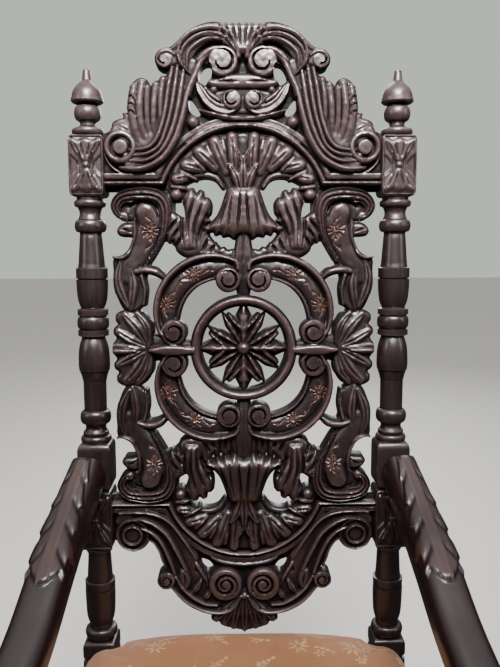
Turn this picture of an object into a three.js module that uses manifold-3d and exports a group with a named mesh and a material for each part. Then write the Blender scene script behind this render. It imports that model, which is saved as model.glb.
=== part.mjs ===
// A tall-backed carved throne: turned back posts with finials, a pierced and carved crest rail, splat
// and lower back rail, sloping arms with a scroll hand-hold, and a stuffed seat on turned legs.
// Millimetres, +Z up, the sitter faces -Y. The origin is on the floor, in the middle of the footprint.
import * as THREE from "three";
import { mergeVertices } from "three/addons/utils/BufferGeometryUtils.js";
import Module from "manifold-3d";

const wasm = await Module();
wasm.setup();

// ---------------------------------------------------------------- driving dimensions
const GAP = 0.3; // clearance between neighbouring pieces

// The back is drawn flat, as x across and v up from the seat rails, and then leans away from the sitter.
const POST_X = 200; // half the spacing of the back posts
const BLOCK = 44; // side of the square blocks on posts and legs
const HALF = BLOCK / 2;
const RAKE = THREE.MathUtils.degToRad(4.4);
const HINGE_Z = 400; // height where the raked back meets the rear legs
const REAR_KICK = 38; // how far the rear feet stand behind the posts

const CENTRE_V = 434.5; // height of the splat's centre up the back
const ARCH_V = 176.5; // from the splat's centre to the centre of either arch
const ARCH_R = 97.5; // inner radius of the arch mouldings
const BEAD_R = 106.5; // radius of the bead on them
const SHOULDER_V = 204; // from the splat's centre to the straight mouldings
const ARCH_TURN = Math.asin((SHOULDER_V + BEAD_R - ARCH_R - ARCH_V) / BEAD_R);

// Depths of the carving, measured from the middle plane of the back towards the sitter.
const BACK = -12;
const GROUND = 3;
const EDGE = 8;
const RIM = 14;
const CROWN = 18;

const FOOT_BLOCK = 21; // half the side of the blocks low on the front legs
const FRONT_X = 228; // half the spacing of the front legs
const FRONT_Y = -405; // the front legs stand this far before the posts
const RAIL_TOP = 398;
const RAIL_BOTTOM = 334;
const RAIL_THICK = 24;
const STRETCHER_Z = 92;
const SUPPORT_TOP = 534; // top of the arm supports, let into the arms
const SEAT_CROWN = 60; // height of the stuffing above the rails

const wood = (color, roughness) => new THREE.MeshStandardMaterial({ color, roughness, metalness: 0 });
const darkWood = wood(0x2b1916, 0.38);
const armWood = wood(0x351413, 0.3);
const damask = wood(0xa5745a, 0.85);

// ---------------------------------------------------------------- solids
function outward(geometry) {
  const flat = geometry.index ? geometry.toNonIndexed() : geometry.clone();
  const p = flat.attributes.position;
  const [a, b, c] = [new THREE.Vector3(), new THREE.Vector3(), new THREE.Vector3()];
  let volume = 0;
  for (let i = 0; i < p.count; i += 3) {
    a.fromBufferAttribute(p, i);
    b.fromBufferAttribute(p, i + 1);
    c.fromBufferAttribute(p, i + 2);
    volume += a.dot(b.cross(c));
  }
  if (volume > 0) return flat;
  for (let i = 0; i < p.count; i += 3) {
    a.fromBufferAttribute(p, i);
    b.fromBufferAttribute(p, i + 1);
    p.setXYZ(i, b.x, b.y, b.z);
    p.setXYZ(i + 1, a.x, a.y, a.z);
  }
  return flat;
}

function solid(geometry) {
  const bare = outward(geometry);
  bare.deleteAttribute("normal");
  bare.deleteAttribute("uv");
  const merged = mergeVertices(bare, 1e-3);
  const mesh = new wasm.Mesh({
    numProp: 3,
    vertProperties: new Float32Array(merged.attributes.position.array),
    triVerts: new Uint32Array(merged.index.array),
  });
  return new wasm.Manifold(mesh);
}

const joined = (geometries) => geometries.map(solid).reduce((all, next) => all.add(next));

function node(name, made, material) {
  const { vertProperties, triVerts } = made.getMesh();
  const geometry = new THREE.BufferGeometry();
  geometry.setAttribute("position", new THREE.BufferAttribute(vertProperties, 3));
  geometry.setIndex(new THREE.BufferAttribute(triVerts, 1));
  const mesh = new THREE.Mesh(geometry, material);
  mesh.name = name;
  return mesh;
}

// A closed loft through rings of equal length, with a flat cap on either end.
function loft(rings) {
  const n = rings[0].length;
  const faces = [];
  for (let i = 0; i < rings.length - 1; i++)
    for (let j = 0; j < n; j++) {
      const a = i * n + j;
      const b = i * n + ((j + 1) % n);
      faces.push(a, b, b + n, a, b + n, a + n);
    }
  const last = (rings.length - 1) * n;
  for (let j = 1; j < n - 1; j++) faces.push(0, j + 1, j, last, last + j, last + j + 1);
  const geometry = new THREE.BufferGeometry().setFromPoints(rings.flat());
  geometry.setIndex(faces);
  return geometry;
}

function box(x0, x1, y0, y1, z0, z1) {
  const made = new THREE.BoxGeometry(x1 - x0, y1 - y0, z1 - z0);
  return made.translate((x0 + x1) / 2, (y0 + y1) / 2, (z0 + z1) / 2);
}

// A flat shape in the plane of the back, between two depths.
function board(shape, front, back = BACK) {
  const outline = Array.isArray(shape) ? new THREE.Shape(shape.map(([x, v]) => new THREE.Vector2(x, v))) : shape;
  const options = { depth: front - back, bevelEnabled: false, curveSegments: 14 };
  return new THREE.ExtrudeGeometry(outline, options).rotateX(Math.PI / 2).translate(0, -back, 0);
}

const mirror = (geometry, x, v) => geometry.clone().scale(x, 1, v);
const pair = (geometries) => geometries.flatMap((g) => [g, mirror(g, -1, 1)]);
const four = (geometries) => pair(geometries).flatMap((g) => [g, mirror(g, 1, -1)]);

// ---------------------------------------------------------------- carving strokes
const arc = (x, v, r, from, to, steps) =>
  Array.from({ length: steps + 1 }, (_, i) => {
    const a = from + ((to - from) * i) / steps;
    return [x + r * Math.cos(a), v + r * Math.sin(a)];
  });

// Sweeps a section of [offset, depth] points along a path of [x, v] points. The section is a function
// of the place along the path, from 0 to 1, and a positive offset lies to the left of the path.
function stroke(path, section) {
  const rings = path.map(([x, v], i) => {
    const [ax, av] = path[Math.max(i - 1, 0)];
    const [bx, bv] = path[Math.min(i + 1, path.length - 1)];
    const long = Math.hypot(bx - ax, bv - av);
    const [nx, nv] = [(av - bv) / long, (bx - ax) / long];
    return section(i / (path.length - 1)).map(([o, n]) => new THREE.Vector3(x + nx * o, -n, v + nv * o));
  });
  return loft(rings);
}

const along = (values, t) => {
  const at = t * (values.length - 1);
  const i = Math.min(Math.floor(at), values.length - 2);
  return THREE.MathUtils.lerp(values[i], values[i + 1], at - i);
};

// A leaf: half-widths from root to tip, rising to a rib along the middle.
const leaf = (points, widths, top = RIM) =>
  stroke(points, (t) => {
    const w = along(widths, t);
    return [[-w, BACK], [0, top], [w, BACK]];
  });

// A round boss in the back's plane, from the [share of the radius, depth] of its steps.
const boss = (x, v, r, steps, sides = 8) =>
  loft(steps.map(([share, n]) =>
    arc(x, v, r * share, 0, 2 * Math.PI, sides).slice(1).map(([px, pv]) => new THREE.Vector3(px, -n, pv))));

// The rolled end of a scroll, hollowed round its eye.
const volute = (x, v, r) => boss(x, v, r, [[1, BACK], [0.85, RIM], [0.4, GROUND]], 6);

const ball = (x, v, r, top = RIM) => boss(x, v, r, [[1, BACK], [0.6, top]], 5);

// A flat star of ribbed leaves, from the [turn, radius, depth] of its tips and of the clefts between.
function star(x, v, corners, top, back) {
  const ring = (n) => corners.map(([turn, r, depth]) =>
    new THREE.Vector3(x + r * Math.cos(turn), -(n ?? depth), v + r * Math.sin(turn)));
  const crown = corners.map(() => new THREE.Vector3(x, -top, v));
  return loft([ring(back), ring(), crown]);
}

// The opening between the mouldings of the crest and the lower rail, which the splat fills.
function splatWindow(gap) {
  const r = ARCH_R - gap;
  const turn = Math.asin((SHOULDER_V - gap - ARCH_V) / r);
  const top = arc(0, ARCH_V, r, turn, Math.PI - turn, 12);
  const bottom = arc(0, -ARCH_V, r, Math.PI + turn, 2 * Math.PI - turn, 12);
  const [wide, high] = [POST_X, SHOULDER_V - gap];
  const outline = [[wide, -high], [wide, high], ...top, [-wide, high], [-wide, -high], ...bottom];
  return solid(board(outline, 50, -50));
}

const betweenPosts = (reach) => solid(box(-reach, reach, -60, 60, -500, 500));

// The moulding that runs in from either post and over the arch, from the splat's centre.
function archMoulding() {
  const v = SHOULDER_V + BEAD_R - ARCH_R;
  const arch = arc(0, ARCH_V, BEAD_R, Math.PI - ARCH_TURN, ARCH_TURN, 12);
  const section = [[-9, BACK], [-9, 0], [-3, RIM + 2], [3, RIM + 2], [5, EDGE], [11, BACK]];
  return stroke([[-POST_X, v], ...arch, [POST_X, v]], () => section);
}

// ---------------------------------------------------------------- the splat
// Twelve leaves cross the ring; every third one is longer, and they meet at a button.
function rosette() {
  const corners = Array.from({ length: 24 }, (_, i) => {
    const cleft = i % 2 === 1;
    const long = i % 6 === 0;
    return [(i * Math.PI) / 12, cleft ? 22 : long ? 62 : 57, cleft ? -6 : 2];
  });
  return [star(0, 0, corners, 9, BACK), boss(0, 0, 8, [[1, BACK], [0.6, RIM]], 8)];
}

function splatRing() {
  const profile = [[56, BACK], [60, 12], [69, 12], [70, BACK], [56, BACK]];
  return new THREE.LatheGeometry(profile.map(([r, n]) => new THREE.Vector2(r, -n)), 20);
}

// A quarter of the C-scrolls that ring the rosette: a hollow field between two raised rims.
function innerScroll() {
  const [x, v, r] = [35, 41.5, 66.5];
  const path = arc(x, v, r, (102 * Math.PI) / 180, (-10 * Math.PI) / 180, 5);
  const band = stroke(path, (t) => {
    const w = along([15, 19, 20, 20, 18, 15], t);
    return [[w, BACK], [0.85 * w, RIM], [0.45 * w, GROUND], [-0.85 * w, EDGE], [-w, BACK]];
  });
  return [band, volute(20, 90, 16), volute(92, 21, 17)];
}

// A quarter of the S-scrolls along the sides, with their hooks, horns and curls.
function outerScroll() {
  const field = stroke([[122, 192], [122, 160], [140, 116], [149, 88], [140, 42]], (t) => {
    const w = along([14, 19, 22, 19, 8], t);
    return [[-w, BACK], [-0.8 * w, GROUND], [0.8 * w, GROUND + 3], [w, BACK]];
  });
  const hook = [[149, 175], [163, 186], [148, 198], [118, 199], [101, 178], [103, 144], [119, 110]];
  return [
    field,
    leaf(hook, [2, 7, 8, 7, 6, 5, 4]),
    leaf([[141, 176], [144, 144], [156, 124], [169, 119]], [3, 6, 7, 2]),
    leaf([[139, 76], [132, 98], [103, 94]], [4, 8, 3]),
  ];
}

const sideLeaves = () => [
  leaf([[124, 8], [146, 30], [160, 50]], [9, 15, 3]),
  leaf([[126, 3], [154, 10], [171, 25]], [8, 10, 2]),
];

// The acanthus that stands between the C-scrolls and the arches.
const standingLeaves = () => [
  leaf([[76, 126], [68, 172], [60, 206]], [8, 13, 2]),
  leaf([[56, 132], [50, 166], [42, 186]], [10, 9, 2]),
  leaf([[84, 124], [98, 180]], [11, 6]),
  leaf([[90, 116], [60, 136], [20, 126]], [5, 9, 5], EDGE),
  ball(85, 199, 9),
];

// The bell of drapery on the middle line, and the leaf that hangs from it.
const bell = () => [
  stroke([[0, 212], [0, 178], [0, 144]], (t) => {
    const w = along([14, 27, 31], t);
    return [[-w, BACK], [-0.6 * w, RIM], [0, EDGE], [0.6 * w, RIM], [w, BACK]];
  }),
  leaf([[0, 146], [0, 122], [0, 66]], [8, 11, 5], EDGE),
];

// The shell of leaves that fills each arch.
function archFan() {
  const ground = [[24, 202], [38, 216], [62, 217], [80, 198], [98, 198], [98, 280], [-98, 280], [-98, 198],
    [-80, 198], [-62, 217], [-38, 216], [-24, 202]];
  const lobes = pair([leaf([[22, 222], [66, 238]], [12, 16], EDGE)]);
  return [board(ground, -3), ...lobes, leaf([[0, 206], [0, 232], [0, 262]], [9, 12, 1], RIM)];
}

function makeSplat() {
  const quarters = four([...innerScroll(), ...outerScroll(), ...sideLeaves(), ...standingLeaves()]);
  const halves = [...bell(), ...archFan()].flatMap((g) => [g, mirror(g, 1, -1)]);
  const tie = pair([leaf([[64, 0], [118, 0], [166, 0]], [8, 9, 3], EDGE + 2)]);
  return joined([...quarters, ...halves, ...tie, splatRing(), ...rosette()]).intersect(splatWindow(GAP));
}

// ---------------------------------------------------------------- the crest rail
// The right-hand half of the crest. Its points give the height up the back.
function crestHalf() {
  const ground = [[0, 690], [0, 745], [60, 740], [74, 728], [76, 745], [66, 768], [60, 790], [80, 806], [94, 784],
    [112, 772], [128, 772], [142, 760], [150, 738], [170, 713], [POST_X, 713], [POST_X, 639], [90, 639]];
  const sweep = [[140, 676], [118, 684], [98, 704], [88, 742], [77, 782], [62, 808]];
  const flutes = stroke(sweep, (t) => {
    const w = along([12, 13, 14, 14, 13, 8], t);
    const folds = [-0.8, -0.3, 0.2, 0.8].map((o, i) => [o * w, i % 2 ? EDGE : RIM + 2]);
    return [[-w, BACK], ...folds, [w, BACK]];
  });
  const hood = [[100, 806], [74, 827], [46, 838], [24, 831], [11, 813]];
  const acanthus = [
    leaf([[122, 690], [128, 748], [131, 779]], [8, 13, 5]),
    leaf([[108, 712], [106, 748], [100, 780]], [4, 9, 4]),
    leaf([[136, 706], [148, 728], [158, 739]], [6, 12, 1]),
  ];
  const heart = [
    leaf([[0, 777], [22, 778], [46, 772]], [8, 8, 2]),
    leaf([[60, 768], [34, 747], [0, 742]], [4, 8, 7]),
    ball(15, 755, 8, CROWN),
  ];
  const palmette = [[0, 850], [17, 850], [38, 846]].map(([x, v]) => leaf([[x / 3, 816], [x, v]], [3, 8]));
  return [
    board(ground, GROUND), flutes, ...acanthus, ...heart, ...palmette,
    volute(157, 694, 22),
    volute(24, 800, 18),
    board([[-9, 740], [9, 740], [9, 825], [-9, 825]], GROUND),
    leaf([[46, 832], [73, 814], [67, 784]], [6, 11, 1], CROWN),
    leaf([[62, 782], [56, 800], [38, 812]], [6, 8, 7]),
    leaf(hood, [7, 11, 12, 10, 5]),
    ball(98, 803, 12),
    ball(66, 727, 8),
  ].map((g) => g.translate(0, 0, -CENTRE_V));
}

function makeCrest() {
  const made = joined([archMoulding(), ...pair(crestHalf())]);
  return made.intersect(betweenPosts(POST_X - HALF - GAP)).subtract(splatWindow(0));
}

// ---------------------------------------------------------------- the lower back rail
// The right-hand half. Its points give the height up the back.
function lowerHalf() {
  const ground = [[0, 180], [0, 88], [14, 76], [36, 66], [62, 72], [86, 92], [102, 118], [108, 140], [124, 166],
    [136, 160], [154, 154], [170, 160], [POST_X, 176], [POST_X, 230], [90, 230]];
  const sweep = [[150, 201], [128, 199], [108, 186], [94, 160], [85, 120], [76, 92], [48, 73], [18, 78], [3, 98]];
  const band = stroke(sweep, (t) => {
    const w = along([5, 11, 13, 14, 11, 9, 8, 7, 5], t);
    const folds = [-0.9, 0, 0.9].map((o, i) => [o * w, i % 2 ? EDGE : RIM]);
    return [[-w, BACK], ...folds, [w, BACK]];
  });
  return [
    board(ground, GROUND), band,
    volute(25, 105, 20),
    volute(152, 178, 24),
    leaf([[0, 98], [0, 62], [0, 41]], [6, 11, 4]),
    leaf([[12, 82], [28, 60], [32, 49]], [8, 14, 6]),
    ball(107, 115, 12),
  ].map((g) => g.translate(0, 0, -CENTRE_V));
}

function makeLowerRail() {
  const moulding = mirror(archMoulding(), 1, -1);
  const made = joined([moulding, ...pair(lowerHalf())]).intersect(betweenPosts(POST_X - HALF - GAP));
  const eyelet = board([[60, 142], [46, 134], [43, 124], [54, 122]], 50, -50).translate(0, 0, -CENTRE_V);
  return made.subtract(splatWindow(0)).subtract(joined(pair([eyelet])));
}

// ---------------------------------------------------------------- posts and legs
// A post or a leg is one loft through eight-cornered rings. A ring has the half-width of the wood and
// how far its corners are cut: those of a turning are cut until it is regular, those of a block barely.
const ROUND = 1 - Math.tan(Math.PI / 8);
const round = (z, half) => ({ z, half, cut: ROUND * half });
const square = (z, half) => ({ z, half, cut: 1 });

function corners({ half, cut }) {
  const side = [[-half, cut - half], [cut - half, -half], [half - cut, -half], [half, cut - half]];
  return [...side, ...side.map(([x, y]) => [-x, -y])];
}

const turning = (profile) => profile.map(([z, half]) => round(z, half));
const block = (low, high, half = HALF) => [square(low, half), square(high, half)];
const cutBlock = (low, high) => [square(low, HALF - 8), square(low + 8, HALF), square(high - 8, HALF),
  square(high, HALF - 8)];
const spindle = (rings) => loft(rings.map((ring) => corners(ring).map(([x, y]) => new THREE.Vector3(x, y, ring.z))));

// [height up the back, radius] of the turned stretches of a post, from the seat up to the finial.
const LOWER = [[30, 21.5], [45, 21.5], [50, 15], [95, 20], [112, 20.5], [117, 17], [150, 15.5], [158, 18]];
const UPPER = [[311, 20.5], [328, 14], [341, 20.5], [351, 15], [390, 15], [405, 20], [430, 19.5], [448, 15],
  [454, 20], [460, 17], [469, 20.5], [487, 20], [490, 15], [522, 20], [543, 20.5], [547, 17], [583, 14.5],
  [595, 20.5], [612, 13.5], [620, 20.5], [630, 20.5]];
const FINIAL = [[714, 20.5], [726, 9], [738, 17], [749, 10], [752, 20.5], [760, 19.5], [775, 10], [794, 4]];

// Four leaves crossed on the face of a block, towards the sitter.
function crossedLeaves(v) {
  const points = [];
  for (let i = 0; i < 8; i++) {
    const cleft = i % 2 === 1;
    const turn = (i * Math.PI) / 4 + Math.PI / 4;
    points.push([turn, cleft ? 7 : 26, HALF + (cleft ? -1 : 1)]);
  }
  return star(0, v, points, HALF + 6, HALF - 4);
}

// The rear leg below the seat, square with cut corners, kicking out behind.
function rearLeg(grow = 0) {
  const top = RAIL_BOTTOM - 20;
  const shape = [[0, HALF - 7, 5], [120, HALF - 6, 5], [220, HALF - 5, 5], [top, HALF - 4, 5], [top + 12, HALF, 1],
    [HINGE_Z, HALF, 1]];
  return shape.map(([z, half, cut]) => {
    const kick = REAR_KICK * Math.pow(Math.max(1 - z / top, 0), 1.4);
    return corners({ half: half + grow, cut }).map(([x, y]) => new THREE.Vector3(x, y + kick, z));
  });
}

const inBack = (geometry) => geometry.rotateX(-RAKE).translate(0, 0, HINGE_Z);

function makePost() {
  const rings = [...block(6, 28), ...turning(LOWER), ...cutBlock(160, 242), ...block(244, 307), ...turning(UPPER),
    ...cutBlock(632, 710), ...turning(FINIAL)];
  const lean = new THREE.Matrix4().makeRotationX(-RAKE).setPosition(0, 0, HINGE_Z);
  const raked = rings.map((ring) => corners(ring).map(([x, y]) => new THREE.Vector3(x, y, ring.z).applyMatrix4(lean)));
  const flowers = [199, 671].map((v) => inBack(crossedLeaves(v)));
  return joined([loft([...rearLeg(), ...raked]), ...flowers]);
}

// [height, radius] of the front leg and of the arm support that stands on it.
const FOOT = [[0, 17], [8, 24], [26, 24], [42, 14], [54, 15]];
const SHANK = [[126, 20], [131, 14], [150, 21], [190, 14], [204, 14], [240, 21], [260, 21], [270, 14],
  [RAIL_BOTTOM - 34, 20.5], [RAIL_BOTTOM - 18, 20.5]];
const SUPPORT = [[412, 20], [418, 14], [436, 20.5], [480, 13], [496, 13], [512, 19.5], [522, 14], [528, 20],
  [SUPPORT_TOP, 20]];

const makeFrontLeg = () => solid(spindle([...turning(FOOT), ...block(62, 120, FOOT_BLOCK), ...turning(SHANK),
  ...block(RAIL_BOTTOM - 12, RAIL_TOP + 6), ...turning(SUPPORT)]));

// ---------------------------------------------------------------- arms
// The right-hand arm's middle line falls from the back post and levels out over the front leg.
const ARM_LINE = new THREE.CatmullRomCurve3(
  [[206, -4, 676], [217, -71, 637], [222, -140, 607], [226, -215, 574], [229, -290, 556], [230, -360, 552],
    [229, -424, 560]].map((p) => new THREE.Vector3(...p)), false, "centripetal");
const DRUM_R = 26;

const armSweep = (from, to, steps, section) => {
  const up = new THREE.Vector3();
  const rings = Array.from({ length: steps + 1 }, (_, i) => {
    const t = from + ((to - from) * i) / steps;
    const at = ARM_LINE.getPointAt(t);
    const ahead = ARM_LINE.getTangentAt(t);
    up.set(0, 0, 1).addScaledVector(ahead, -ahead.z).normalize();
    const across = new THREE.Vector3().crossVectors(ahead, up).normalize();
    return section(t).map(([o, h]) => at.clone().addScaledVector(across, o).addScaledVector(up, h));
  });
  return loft(rings);
};

function makeArm() {
  const body = armSweep(0, 1, 7, (t) => {
    const [w, h] = [along([22, 25, 25, 25, 25, 24], t), along([25, 24, 22, 20, 18, 18], t)];
    return [[-w, -0.5 * h], [-w, 0.5 * h], [-0.5 * w, h], [0.5 * w, h], [w, 0.5 * h], [w, -0.5 * h], [0.6 * w, -h],
      [-0.6 * w, -h]];
  });
  const carved = armSweep(0.02, 0.42, 4, (t) => {
    const [w, h] = [along([15, 18, 20, 19, 12], t), along([25, 25, 24, 23, 22], t)];
    return [[-w, 0], [-0.6 * w, h + 4], [0, h + 1], [0.6 * w, h + 4], [w, 0]];
  });
  const end = ARM_LINE.getPoint(1);
  const drumRings = [[-28, 12], [-25, DRUM_R], [25, DRUM_R], [28, 12]].map(([x, r]) =>
    arc(end.y, end.z - 8, r, 0, 2 * Math.PI, 10).slice(1).map(([y, z]) => new THREE.Vector3(end.x + x, y, z)));
  const post = inBack(spindle(block(235, 320, HALF + GAP))).translate(POST_X, 0, 0);
  const tenon = spindle([round(300, 20 + GAP), round(SUPPORT_TOP + GAP, 20 + GAP)]).translate(FRONT_X, FRONT_Y, 0);
  return joined([body, carved, loft(drumRings)]).subtract(solid(post)).subtract(solid(tenon));
}

// ---------------------------------------------------------------- seat frame and stretchers
const railAcross = (y, reach) =>
  solid(box(-reach, reach, y - RAIL_THICK / 2, y + RAIL_THICK / 2, RAIL_BOTTOM, RAIL_TOP));

// The right-hand side rail spreads forward with the legs.
function sideRail() {
  const [y0, y1] = [-HALF - GAP, FRONT_Y + HALF + GAP];
  const spread = (y) => POST_X + HALF - 4 + ((FRONT_X - POST_X) * y) / FRONT_Y;
  const outline = [[spread(y0), y0], [spread(y1), y1], [spread(y1) - RAIL_THICK, y1], [spread(y0) - RAIL_THICK, y0]];
  const shape = new THREE.Shape(outline.map(([x, y]) => new THREE.Vector2(x, y)));
  const depth = RAIL_TOP - RAIL_BOTTOM;
  return solid(new THREE.ExtrudeGeometry(shape, { depth, bevelEnabled: false }).translate(0, 0, RAIL_BOTTOM));
}

// The right-hand side stretcher, turned, with a square block where the cross stretcher meets it.
function sideStretcher() {
  const from = new THREE.Vector3(FRONT_X, FRONT_Y, STRETCHER_Z);
  const to = new THREE.Vector3(POST_X, REAR_KICK / 2, STRETCHER_Z);
  const long = from.distanceTo(to);
  const middle = long / 2;
  const half = [[0, 10], [110, 13], [120, 16], [130, 11]];
  const rings = [...turning(half), ...block(middle - 22, middle + 22, 15),
    ...turning(half.toReversed().map(([z, r]) => [long - z, r]))];
  const turned = spindle(rings).rotateX(-Math.PI / 2).rotateZ(Math.atan2(from.x - to.x, to.y - from.y));
  const ends = [
    loft(rearLeg(GAP)).translate(POST_X, 0, 0),
    spindle(block(0, 2 * STRETCHER_Z, FOOT_BLOCK + GAP)).translate(FRONT_X, FRONT_Y, 0),
  ];
  return solid(turned.translate(from.x, from.y, from.z)).subtract(joined(ends));
}

function crossStretcher() {
  const reach = (FRONT_X + POST_X) / 2 - 15 - 1;
  const half = [[reach, 10], [130, 13], [60, 11], [46, 16], [30, 12]];
  const profile = [...half.map(([z, r]) => [-z, r]), [0, 18], ...half.toReversed()];
  const y = (FRONT_Y + REAR_KICK / 2) / 2;
  return solid(spindle(turning(profile)).rotateY(Math.PI / 2).translate(0, y, STRETCHER_Z));
}

// The front stretcher is a shaped board with a bead along its arched top and a spray of leaves.
function frontStretcher() {
  const reach = FRONT_X - FOOT_BLOCK - GAP;
  const top = [[reach, 102], [100, 102], ...arc(0, 40, 112, 0.7, Math.PI - 0.7, 6), [-100, 102], [-reach, 102]];
  const bead = stroke(top.toReversed(), () => [[-9, -8], [-6, 12], [1, 12], [4, -8]]);
  const face = board([...top, [-reach, 74], [reach, 74]], 6, -8);
  const tips = Array.from({ length: 11 }, (_, i) => [((i - 1) * Math.PI) / 8, i % 2 ? 46 : 20, 6]);
  const made = joined([face, bead, star(0, 96, tips, 14, -8)]).intersect(betweenPosts(reach));
  return made.translate([0, FRONT_Y, 0]);
}

// ---------------------------------------------------------------- the seat
// The right half of the stuffed seat's plan, notched round the post and the arm support.
const SEAT_PLAN = [[0, 10], [172, 10], [174, -30], [200, -34], [214, -50], [218, -90], [230, -300], [236, -376],
  [202, -381], [201, -420], [194, -432], [0, -436]];

// Higher up the stuffing swells in front of the posts and hides the notches.
const SEAT_DOME = [[0, -26], [150, -16], [180, -24], ...SEAT_PLAN.slice(3)];

function cushion() {
  const whole = (half) => [...half, ...half.slice(1, -1).toReversed().map(([x, y]) => [-x, y])];
  const middle = FRONT_Y / 2;
  const levels = [[0, 1, SEAT_PLAN], [0.6, 1, SEAT_PLAN], [0.85, 0.9, SEAT_DOME], [0.95, 0.78, SEAT_DOME],
    [1, 0.4, SEAT_DOME]];
  const rings = levels.map(([rise, size, plan]) => whole(plan).map(([x, y]) =>
    new THREE.Vector3(x * size, middle + (y - middle) * size, RAIL_TOP + GAP + SEAT_CROWN * rise)));
  return solid(loft(rings));
}

// ---------------------------------------------------------------- assembly
const chair = new THREE.Group();
const frame = new THREE.Group();
chair.add(frame);

const back = new THREE.Group();
back.position.set(0, 0, HINGE_Z);
back.rotation.x = -RAKE;
const panel = new THREE.Group();
panel.position.z = CENTRE_V;
panel.add(node("crest_rail", makeCrest(), darkWood));
panel.add(node("splat", makeSplat(), darkWood));
panel.add(node("lower_back_rail", makeLowerRail(), darkWood));
back.add(panel);
frame.add(back);

// Pieces that come in pairs are modelled on one side and mirrored to the other.
function addPair(name, made, material, x = 0, y = 0) {
  for (const [side, flip] of [["left", -1], ["right", 1]]) {
    const piece = node(`${name}_${side}`, flip < 0 ? made.mirror([1, 0, 0]) : made, material);
    piece.position.set(flip * x, y, 0);
    frame.add(piece);
  }
}
addPair("back_post", makePost(), darkWood, POST_X);
addPair("front_leg", makeFrontLeg(), darkWood, FRONT_X, FRONT_Y);
addPair("arm", makeArm(), armWood);
addPair("side_rail", sideRail(), darkWood);
addPair("side_stretcher", sideStretcher(), darkWood);
frame.add(node("back_seat_rail", railAcross(0, POST_X - HALF - GAP), darkWood));
frame.add(node("front_seat_rail", railAcross(FRONT_Y, FRONT_X - HALF - GAP), darkWood));
frame.add(node("cross_stretcher", crossStretcher(), darkWood));
frame.add(node("front_stretcher", frontStretcher(), darkWood));
frame.add(node("seat_cushion", cushion(), damask));

// The frame is moved so that the middle of its footprint is the origin.
const extent = new THREE.Box3().setFromObject(frame, true);
frame.position.y = -(extent.min.y + extent.max.y) / 2;

export default chair;
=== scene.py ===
from math import radians, cos, sin, pi, hypot

import bmesh
import bpy
import numpy as np
from mathutils import Matrix, Vector


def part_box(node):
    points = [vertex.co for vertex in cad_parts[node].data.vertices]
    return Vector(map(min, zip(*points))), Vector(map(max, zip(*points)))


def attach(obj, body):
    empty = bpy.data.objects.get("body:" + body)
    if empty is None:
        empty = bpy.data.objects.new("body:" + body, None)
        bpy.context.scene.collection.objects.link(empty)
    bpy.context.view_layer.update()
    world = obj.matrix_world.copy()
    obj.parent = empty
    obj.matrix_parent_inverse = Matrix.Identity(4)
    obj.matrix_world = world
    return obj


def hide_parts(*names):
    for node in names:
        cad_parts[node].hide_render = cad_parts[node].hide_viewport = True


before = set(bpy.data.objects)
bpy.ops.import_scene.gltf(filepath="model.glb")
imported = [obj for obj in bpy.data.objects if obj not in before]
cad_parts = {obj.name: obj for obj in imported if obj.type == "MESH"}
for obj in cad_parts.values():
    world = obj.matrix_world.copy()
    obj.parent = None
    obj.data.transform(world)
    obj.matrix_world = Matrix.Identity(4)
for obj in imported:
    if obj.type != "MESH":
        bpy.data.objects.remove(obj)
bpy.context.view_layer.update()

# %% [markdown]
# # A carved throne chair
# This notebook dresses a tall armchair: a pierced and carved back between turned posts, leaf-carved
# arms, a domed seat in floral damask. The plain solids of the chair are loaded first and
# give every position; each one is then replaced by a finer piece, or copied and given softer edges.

MM = 0.001

# %% [markdown]
# ## Where things are
# A chair's back leans. It is easiest to draw the carving flat on the bench, as a carver does, and then
# to lay the drawing on the leaning plane: x runs across, v up the leaning back, n out towards the
# sitter, all in millimetres. Every position comes from the boxes of the plain solids.

# %% The leaning plane of the back
RAKE = radians(4.4)
seat_rail_low, seat_rail_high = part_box("back_seat_rail")
POST_LINE = (seat_rail_low[1] + seat_rail_high[1]) / 2
HINGE = seat_rail_high[2] + 2 * MM


def on_back(x, v, n):
    """Millimetres on the drawing of the back, to metres in the room."""
    x, v, n = np.broadcast_arrays(np.asarray(x, float), np.asarray(v, float), np.asarray(n, float))
    y = POST_LINE + (v * sin(RAKE) - n * cos(RAKE)) * MM
    z = HINGE + (v * cos(RAKE) + n * sin(RAKE)) * MM
    return np.stack([x * MM, y, z], axis=-1)


post_low, post_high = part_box("back_post_right")
POST_X = (post_low[0] + post_high[0]) / 2 / MM
leg_low, leg_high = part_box("front_leg_right")
FRONT_X = (leg_low[0] + leg_high[0]) / 2
FRONT_Y = (leg_low[1] + leg_high[1]) / 2
print("post line y %.4f, hinge z %.3f, posts at x ±%.0f mm" % (POST_LINE, HINGE, POST_X))

# %% [markdown]
# ## The camera
# A person's eye stands close in front of the seat, a little above the middle of the back, and looks
# slightly down. A fairly wide lens from so near makes the arms swing out towards the lower corners.

# %% Camera
EYE = Vector((-0.0057, -0.674, 1.020))
LOOK = Vector((0.0157, 0.9826, -0.1852))
UP = Vector((0.0041, 0.1852, 0.9827))
camera_data = bpy.data.cameras.new("eye")
LENS, SENSOR = 36.7, 36
camera_data.lens = LENS
camera_data.sensor_width = SENSOR
camera_data.clip_start = 0.02
camera = bpy.data.objects.new("eye", camera_data)
bpy.context.scene.collection.objects.link(camera)
look = LOOK.normalized()
side = look.cross(UP).normalized()
top = side.cross(look)
camera.matrix_world = Matrix((side, top, -look)).transposed().to_4x4()
camera.location = EYE
bpy.context.scene.camera = camera
print("the eye stands %.2f m in front of the posts" % (POST_LINE - EYE.y))
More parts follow.
